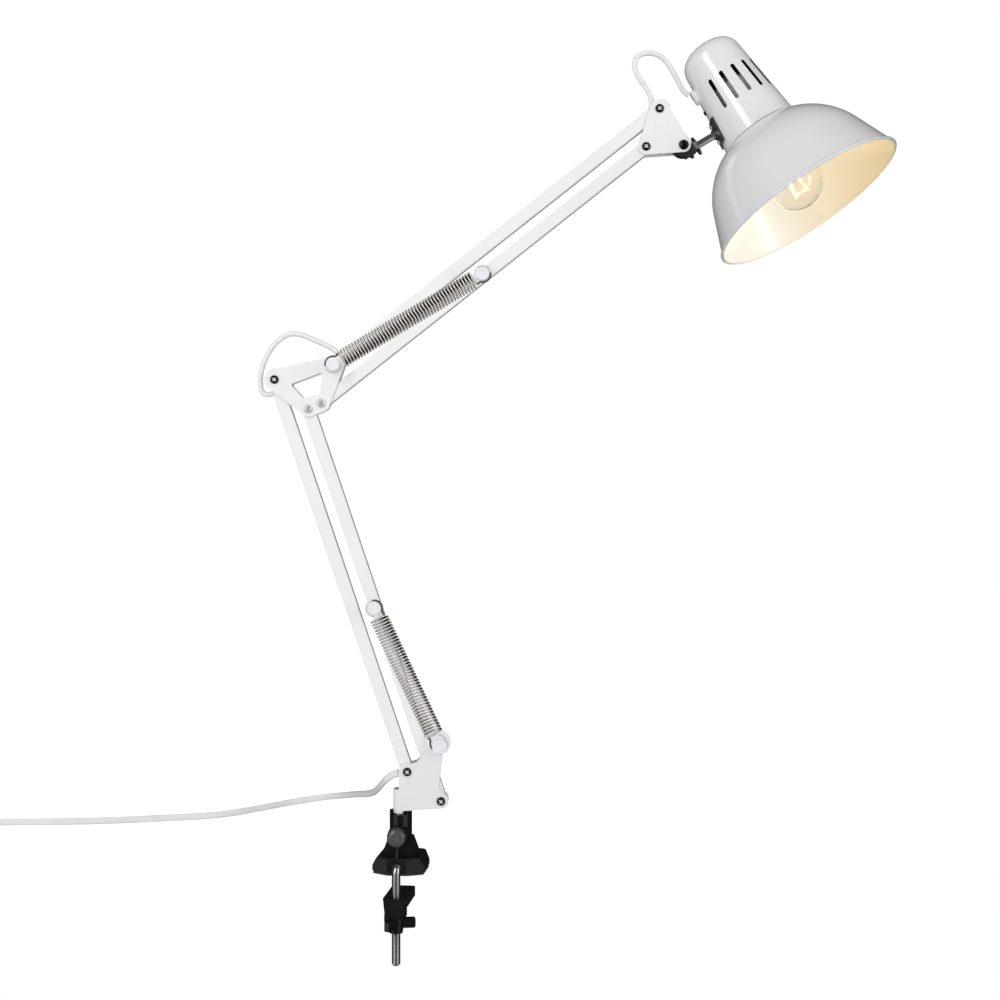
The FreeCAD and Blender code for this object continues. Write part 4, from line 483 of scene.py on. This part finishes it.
# each finish: how it is made, its look, and the nodes that wear it
finishTable = {
    "armWhite": (enamel, armLook, [
        "lower_tube_outer", "lower_tube_inner", "upper_tube_top", "upper_tube_low"]),
    "plateWhite": (enamel, plateLook, ["elbow_plates", "head_plates"]),
    "bracketWhite": (enamel, bracketLook, ["base_bracket"]),
    "clampBlack": (moulded, clampLook, ["clamp_body", "clamp_jaw", "clamp_wing_nut"]),
    "knobBlack": (moulded, knobLook, ["thumb_screw_knob"]),
    "padRubber": (moulded, rubberLook, ["foot_pad"]),
    "knuckleGrey": (moulded, knuckleLook, ["head_knuckle", "tilt_wing_nut"]),
    "holderWhite": (moulded, holderLook, ["lampholder", "shade_ring"]),
    "cordWhite": (moulded, cordLook, ["switch_case", "plug_body", "switch_rocker"]),
    "bushWhite": (moulded, bushLook, [
        "cable_grommet", "base_pivot_bushes", "elbow_bushes", "head_plate_bushes"]),
    "chromeRod": (plated, chromeLook, [
        "clamp_rod", "thumb_screw_shank", "head_stem", "stem_pin", "stem_nut", "stem_washer"]),
    "zincCap": (plated, zincLook, [
        "lower_spring_post", "lower_spring_washer", "lower_spring_pin", "upper_spring_pin",
        "elbow_spring_pin", "base_pivot_nuts", "elbow_nuts", "head_plate_nuts"]),
    "blackScrew": (plated, blackScrewLook, [
        "base_pivot_screws", "elbow_screw_dark", "head_plate_screws", "housing_screw",
        "tilt_bolt"]),
    "nickelScrew": (plated, nickelLook, ["elbow_screws_bright", "saddle_screws", "plug_pins"]),
    "saddleSteel": (plated, saddleLook, ["housing_saddle"]),
    "capMetal": (plated, capLook, ["bulb_cap"]),
    "shadeWhite": (shadeEnamel, shadeLook, ["shade_bowl"]),
    "housingWhite": (shadeEnamel, housingLook, ["lamp_housing"]),
    "bulbGlass": (clearGlass, glassLook, ["bulb_glass"]),
    "phosphor": (glowingStrip, stripLook, ["bulb_filaments"]),
}
finishes = {}
for finishName, (makeFinish, look, nodeNames) in finishTable.items():
    finishes[finishName] = makeFinish(finishName, look)
    for nodeName in nodeNames:
        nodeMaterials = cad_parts[nodeName].data.materials
        nodeMaterials.clear()
        nodeMaterials.append(finishes[finishName])
print("finishes on the frame")


# mains cord: flat twin, standing on its edge; the route is in millimetres
cordSizes = {
    "width": 6.0 * mm, "thickness": 3.4 * mm, "waist": 0.78, "waistReach": 0.35, "sides": 28,
    "fineness": 14,
}
cordRoute = [
    (-1.8, 0.0, 80.4), (-8.4, 3.0, 77.9), (-15.0, 12.0, 71.1), (-21.7, 32.0, 60.3),
    (-29.9, 70.0, 48.8), (-41.0, 118.0, 37.7), (-51.6, 160.0, 28.8), (-62.4, 200.0, 19.8),
    (-75.0, 236.0, 11.2), (-94.1, 257.0, 5.4), (-124.0, 246.0, 3.1), (-152.0, 217.0, 3.1),
    (-186.0, 186.0, 3.1), (-232.0, 176.0, 3.1), (-284.0, 164.0, 3.1), (-344.0, 158.5, 3.1),
    (-401.0, 158.5, 3.1),
]
# the put-away coil between the inline switch and the plug, in millimetres
coilSizes = {
    "start": (-459.2, 158.5, 3.1), "lead": 36.0, "outer": 38.7, "step": 6.6, "turns": 2.5,
    "perTurn": 16, "dip": 0.6, "push": 0.8, "tail": 34.0, "tailBend": 0.34, "endLead": 8.0,
    "endLevel": 7.1,
}


def twinOutline(sizes):
    # two half circles moved apart by a flat, with a bell-shaped dip of the thickness between them
    turn = np.arange(sizes["sides"]) * 2 * np.pi / sizes["sides"]
    half = sizes["thickness"] / 2
    apart = sizes["width"] / 2 - half
    along = np.cos(turn) * half + np.sign(np.round(np.cos(turn), 6)) * apart
    dip = np.exp(-(along / (sizes["waistReach"] * half)) ** 2)
    waist = 1 - (1 - sizes["waist"]) * dip
    return np.stack([along, np.sin(turn) * half * waist], axis=-1)


def coilRoute(sizes):
    # a spiral in along the table, half a turn up, out again on top, then down to the plug:
    # the radius falls evenly with the angle, stays level with a sine dip, and grows evenly
    start = np.array(sizes["start"])
    entry = start - (sizes["lead"], 0, 0)
    centre = entry - (0, sizes["outer"], 0)
    inner = sizes["outer"] - sizes["step"] * sizes["turns"]
    count = int(sizes["perTurn"] * sizes["turns"])
    lift = int(sizes["perTurn"] / 2)
    # the smooth line runs inside its control points, so they are pushed out a little
    pushed = 1 / math.cos(math.pi / sizes["perTurn"]) ** sizes["push"]
    radius = np.concatenate([
        np.linspace(sizes["outer"], inner, count + 1),
        inner - sizes["dip"] * np.sin(np.pi * np.arange(1, lift) / lift),
        np.linspace(inner, sizes["outer"], count + 1),
    ])
    level = np.concatenate([
        np.zeros(count + 1), np.linspace(0, sizes["step"], lift + 1)[1:-1],
        np.full(count + 1, sizes["step"]),
    ]) + start[2]
    turn = np.pi / 2 + np.arange(len(radius)) * 2 * np.pi / sizes["perTurn"]
    wound = np.stack([np.cos(turn) * radius * pushed + centre[0],
                      np.sin(turn) * radius * pushed + centre[1], level], axis=-1)
    last = np.array((wound[-1, 0], centre[1] - sizes["outer"], level[-1]))
    wound[0] = entry
    wound[-1] = last
    foot = np.array((last[0] + sizes["tail"], last[1], sizes["endLevel"]))
    fall = (foot - last) * sizes["tailBend"]
    leadIn = np.array([start, start - (sizes["lead"] / 2, 0, 0)])
    leadOut = np.array([last + fall, foot - fall, foot, foot + (sizes["endLead"], 0, 0)])
    return np.vstack([leadIn, wound, leadOut])


def flatCord(name, points, stoodFor):
    route = np.array(points) * mm
    line = smoothLine(name + "Line", route, cordSizes["fineness"])
    piece = wireAlong(name, line, (0, 0, 1), twinOutline(cordSizes))
    piece.data.materials.append(finishes["cordWhite"])
    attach(piece, "swivel_bracket")
    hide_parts(stoodFor)


flatCord("mainsCord", cordRoute, "mains_cord")
flatCord("storedCord", coilRoute(coilSizes), "cord_coil")
print("cords laid")


# short round cables over the elbow and the head joint: the bodies before and after,
# the node that the cable stands for, and its route in millimetres
cableSizes = {"radius": 2.1 * mm, "sides": 20, "fineness": 16, "shortest": 0.03}
cableRoutes = {
    "elbowCableLower": ("lower_arm_outer", "elbow", "elbow_cable_lower", [
        (-105.2, 0.0, 393.3), (-110.2, 0.0, 391.5), (-114.8, 0.0, 394.2), (-116.1, 0.0, 401.4),
        (-115.4, 0.0, 413.0), (-108.8, 0.0, 429.0), (-102.6, 0.0, 435.2)]),
    "elbowCableUpper": ("elbow", "upper_arm_top", "elbow_cable_upper", [
        (-102.6, 0.0, 435.2), (-96.4, 0.0, 441.4), (-85.0, 0.0, 443.2), (-69.0, 0.0, 436.3),
        (-55.0, 0.0, 430.2), (-51.0, 0.0, 425.1)]),
    "headCableLower": ("upper_arm_top", "head_yoke", "head_cable_lower", [
        (206.3, 0.0, 627.6), (207.3, 0.0, 634.0), (204.4, 0.0, 642.5), (200.0, 0.0, 648.4)]),
    "headCableMiddle": ("head_yoke", "knuckle", "head_cable_middle", [
        (200.0, 0.0, 648.4), (193.3, 0.0, 657.4), (192.4, 0.6, 669.0), (199.5, 1.8, 674.8),
        (206.0, 3.0, 674.8)]),
    "headCableUpper": ("knuckle", "lamp_head", "head_cable_upper", [
        (206.06, 3.01, 674.8), (215.5, 4.75, 674.8), (227.7, 6.2, 656.0), (233.2, 7.0, 644.3),
        (238.3, 7.4, 641.0)]),
}


def shortCable(name, bodyBefore, bodyAfter, stoodFor, points):
    line = smoothLine(name + "Line", np.array(points) * mm, cableSizes["fineness"])
    outline = roundOutline(cableSizes["radius"], cableSizes["sides"])
    piece = wireAlong(name, line, (0, 1, 0), outline)
    piece.data.materials.append(finishes["cordWhite"])
    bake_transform(piece)
    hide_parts(stoodFor)


for cableName, cable in cableRoutes.items():
    shortCable(cableName, *cable)
print("cables laid")


# tension springs, in millimetres and degrees: a ring on each pin and a helix between
springSizes = {
    "lowerSpring": {
        "start": (32.8, -15.5, 105.0), "end": (-20.56, -15.5, 217.34), "outer": 16.0, "turns": 40,
        "shift": 2.6, "bodies": ("swivel_bracket", "lower_arm_inner"), "node": "lower_spring",
        "bendShares": (-0.06, 0.70),
    },
    "upperSpring": {
        "start": (-54.01, -15.5, 416.15), "end": (67.62, -15.5, 489.69), "outer": 15.0, "turns": 46,
        "shift": 0.0, "bodies": ("elbow", "upper_arm_low"), "node": "upper_spring",
        "bendShares": (-0.02, 0.26),
    },
}
springWire = {
    "wire": 1.6, "sides": 12, "perTurn": 32, "overTurn": 0.25, "firstAngle": -45, "ringBend": 6.6,
    "ringLead": 8.6, "ringFrom": 28, "ringTo": 310, "ringSteps": 60, "joinSteps": 14,
    "joinPull": 1.15,
}


def joinBetween(first, firstWay, last, lastWay):
    # a cubic from one point to the other in the given directions, its end points left out
    pull = float(np.linalg.norm(last - first)) * springWire["joinPull"]
    t = np.linspace(0, 1, springWire["joinSteps"] + 2)[1:-1, None]
    return ((2 * t**3 - 3 * t**2 + 1) * first + (t**3 - 2 * t**2 + t) * firstWay * pull
            + (-2 * t**3 + 3 * t**2) * last + (t**3 - t**2) * lastWay * pull)


def springLine(sizes):
    # helix: the spring's axis plus the radius times (front cos a + side sin a), with the angle a
    # and the place on the axis growing evenly; ring: the same circle law in the spring's own plane
    start, end = np.array(sizes["start"]), np.array(sizes["end"])
    way = unitRows(end - start)
    front = np.array((0.0, -1.0, 0.0))
    side = np.cross(way, front)
    length = float(np.linalg.norm(end - start))
    radius = (sizes["outer"] - springWire["wire"]) / 2
    turns = sizes["turns"] + springWire["overTurn"]
    first, last = sizes["shift"] + springWire["ringLead"], length - springWire["ringLead"]
    turned = np.linspace(0, turns, sizes["turns"] * springWire["perTurn"])[:, None]
    angle = np.radians(springWire["firstAngle"]) + turned * 2 * np.pi
    helix = (start + way * (first + (last - first) / turns * turned)
             + (front * np.cos(angle) + side * np.sin(angle)) * radius)
    ringAngle = np.linspace(springWire["ringFrom"], springWire["ringTo"], springWire["ringSteps"])
    ringTurn = np.radians(ringAngle)[:, None]
    ringOut = (way * np.cos(ringTurn) + side * np.sin(ringTurn)) * springWire["ringBend"]
    ringLow = start + way * sizes["shift"] + ringOut
    ringHigh = (end - ringOut)[::-1]
    ringWay = side * np.cos(ringTurn[-1]) - way * np.sin(ringTurn[-1])
    joinLow = joinBetween(ringLow[-1], ringWay, helix[0], unitRows(helix[1] - helix[0]))
    joinHigh = joinBetween(helix[-1], unitRows(helix[-1] - helix[-2]), ringHigh[0], ringWay)
    line = np.vstack([ringLow, joinLow, helix, joinHigh, ringHigh])
    # the wire's outline leans on the pin's direction in the rings, on the spring's in the helix
    share = np.concatenate([
        np.ones(len(ringLow)), np.linspace(1, 0, len(joinLow)), np.zeros(len(helix)),
        np.linspace(0, 1, len(joinHigh)), np.ones(len(ringHigh)),
    ])[:, None]
    return line * mm, front * share + way * (1 - share)


def tensionSpring(name, sizes):
    line, reference = springLine(sizes)
    outline = roundOutline(springWire["wire"] / 2 * mm, springWire["sides"])
    piece = wireAlong(name, line, reference, outline)
    piece.data.materials.append(springSteel(name + "Steel", springLook, lengthOf(line)))
    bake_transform(piece)
    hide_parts(sizes["node"])
    # keeps the white tubes right behind the spring clean
    piece.visible_shadow = False
    piece.visible_diffuse = False


for springName, sizes in springSizes.items():
    tensionSpring(springName, sizes)
print("springs wound")


# pale table top, in metres; the clamp's jaw hangs in front of its edge
tableSizes = {"x": (-3.0, 3.0), "y": (-0.0165, 3.0), "level": -0.0004}
tableLook = {
    "light": (0.90, 0.90, 0.90), "shade": (0.88, 0.88, 0.88), "gloss": 0.7, "dulling": 0.15,
    "grainScale": 90, "grainDetail": 5, "dullBand": (0.3, 0.7), "grainHeight": 0.0002,
    "grainStrength": 0.2, "seenGlow": 0.62,
}


def paleTable(name, look):
    finish = Finish(name)
    grain = finish.noise(look["grainScale"], look["grainDetail"])
    finish.colour(finish.mixed(finish.share(grain), look["light"], look["shade"]))
    finish.dulled(grain, look["dullBand"], look)
    finish.bump(grain, look["grainHeight"], look["grainStrength"])
    # its own brightness is only seen, it doesn't light the lamp
    finish.fixed(Emission_Color=(1, 1, 1, 1))
    rays = finish.tree.nodes.new("ShaderNodeLightPath")
    glowing = finish.maths("MULTIPLY", rays.outputs["Is Camera Ray"], look["seenGlow"])
    feed(finish.tree, glowing, finish.shader.inputs["Emission Strength"])
    return finish.material


(left, right), (front, back) = tableSizes["x"], tableSizes["y"]
tableCorners = [(x, y, tableSizes["level"]) for x, y in (
    (left, front), (right, front), (right, back), (left, back))]
tableMesh = bpy.data.meshes.new("tableTop")
tableMesh.from_pydata(tableCorners, [], [(0, 1, 2, 3)])
tableMesh.materials.append(paleTable("paleTable", tableLook))
tableTop = addToScene("tableTop", tableMesh)
tableTop.visible_shadow = False
tableTop.visible_glossy = False

# two softboxes, each aimed at a point in the plane of the lamp
lampLights = {
    "leftSoftbox": {"spot": (-1.05, -1.25, 1.05), "aim": (0.10, 0, 0.40), "width": 0.42,
                    "height": 1.5, "power": 10},
    "rightSoftbox": {"spot": (1.55, -0.9, 0.75), "aim": (0.10, 0, 0.35), "width": 0.35,
                     "height": 1.3, "power": 5},
}
for lightName, place in lampLights.items():
    lightData = bpy.data.lights.new(lightName, "AREA")
    lightData.energy = place["power"]
    lightData.shape = "RECTANGLE"
    lightData.size = place["width"]
    lightData.size_y = place["height"]
    light = addToScene(lightName, lightData)
    light.location = place["spot"]
    away = np.array(place["spot"]) - np.array(place["aim"])
    tilt = math.atan2(math.hypot(away[0], away[1]), away[2])
    light.rotation_euler = (tilt, 0, math.atan2(away[1], away[0]) + math.pi / 2)

# the bulb burns softly and warms the lining
bulbGlow = {
    "spot": (0.3231, -0.0150, 0.5626), "radius": 0.012, "power": 0.070, "colour": (1.0, 0.87, 0.66),
    "clearNodes": ("bulb_glass", "bulb_filaments"),
}
glowData = bpy.data.lights.new("bulbGlow", "POINT")
glowData.energy = bulbGlow["power"]
glowData.shadow_soft_size = bulbGlow["radius"]
glowData.color = bulbGlow["colour"]
glow = addToScene("bulbGlow", glowData)
glow.location = bulbGlow["spot"]
glow.visible_camera = False
glow.visible_glossy = False
glow.visible_transmission = False
for nodeName in bulbGlow["clearNodes"]:
    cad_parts[nodeName].visible_shadow = False

# white studio: soft light falls off from its front to its back, and reflections see
# bright sides; the camera sees it plain white
studioLook = {
    "spread": {"middle": 0.50, "front": 0.47, "up": 0.02, "least": 0.26},
    "glossy": {"floor": 0.02, "front": 0.08, "sides": 1.1, "sideBand": (0.35, 0.85)},
    "seen": 1.0,
}
world = bpy.data.worlds.new("studio")
scene.world = world
world.use_nodes = True
tree = world.node_tree


def worldMath(operation, *values):
    return mathNode(tree, operation, *values)


def worldLevel(value):
    node = tree.nodes.new("ShaderNodeBackground")
    feed(tree, (1, 1, 1, 1), node.inputs["Color"])
    feed(tree, value, node.inputs["Strength"])
    return node.outputs[0]


def worldChoice(factor, first, second):
    node = tree.nodes.new("ShaderNodeMixShader")
    for socket, value in zip(node.inputs, (factor, first, second)):
        feed(tree, value, socket)
    return node.outputs[0]


spreadLook, glossyLook = studioLook["spread"], studioLook["glossy"]
rays = tree.nodes.new("ShaderNodeLightPath").outputs
directionNode = tree.nodes.new("ShaderNodeSeparateXYZ")
feed(tree, tree.nodes.new("ShaderNodeTexCoord").outputs["Generated"], directionNode.inputs[0])
direction = directionNode.outputs
ahead = worldMath("MULTIPLY", direction["Y"], -1.0)
fromFront = worldMath("MULTIPLY_ADD", ahead, spreadLook["front"], spreadLook["middle"])
falling = worldMath("MULTIPLY_ADD", direction["Z"], spreadLook["up"], fromFront)
softLevel = worldMath("MAXIMUM", falling, spreadLook["least"])
aside = rangeNode(tree, worldMath("ABSOLUTE", direction["X"]), *glossyLook["sideBand"], 0, 1,
                  "SMOOTHSTEP")
frontHalf = worldMath("MAXIMUM", ahead, 0.0)
sideLevel = worldMath("MULTIPLY", worldMath("MULTIPLY", aside, frontHalf), glossyLook["sides"])
frontLevel = worldMath("MULTIPLY_ADD", frontHalf, glossyLook["front"], glossyLook["floor"])
glossLevel = worldMath("ADD", frontLevel, sideLevel)
lit = worldChoice(rays["Is Glossy Ray"], worldLevel(softLevel), worldLevel(glossLevel))
seen = worldMath("MAXIMUM", rays["Is Camera Ray"], rays["Is Transmission Ray"])
studio = worldChoice(seen, lit, worldLevel(studioLook["seen"]))
feed(tree, studio, tree.nodes["World Output"].inputs[0])
scene.view_settings.view_transform = "Standard"
print("table and light set")
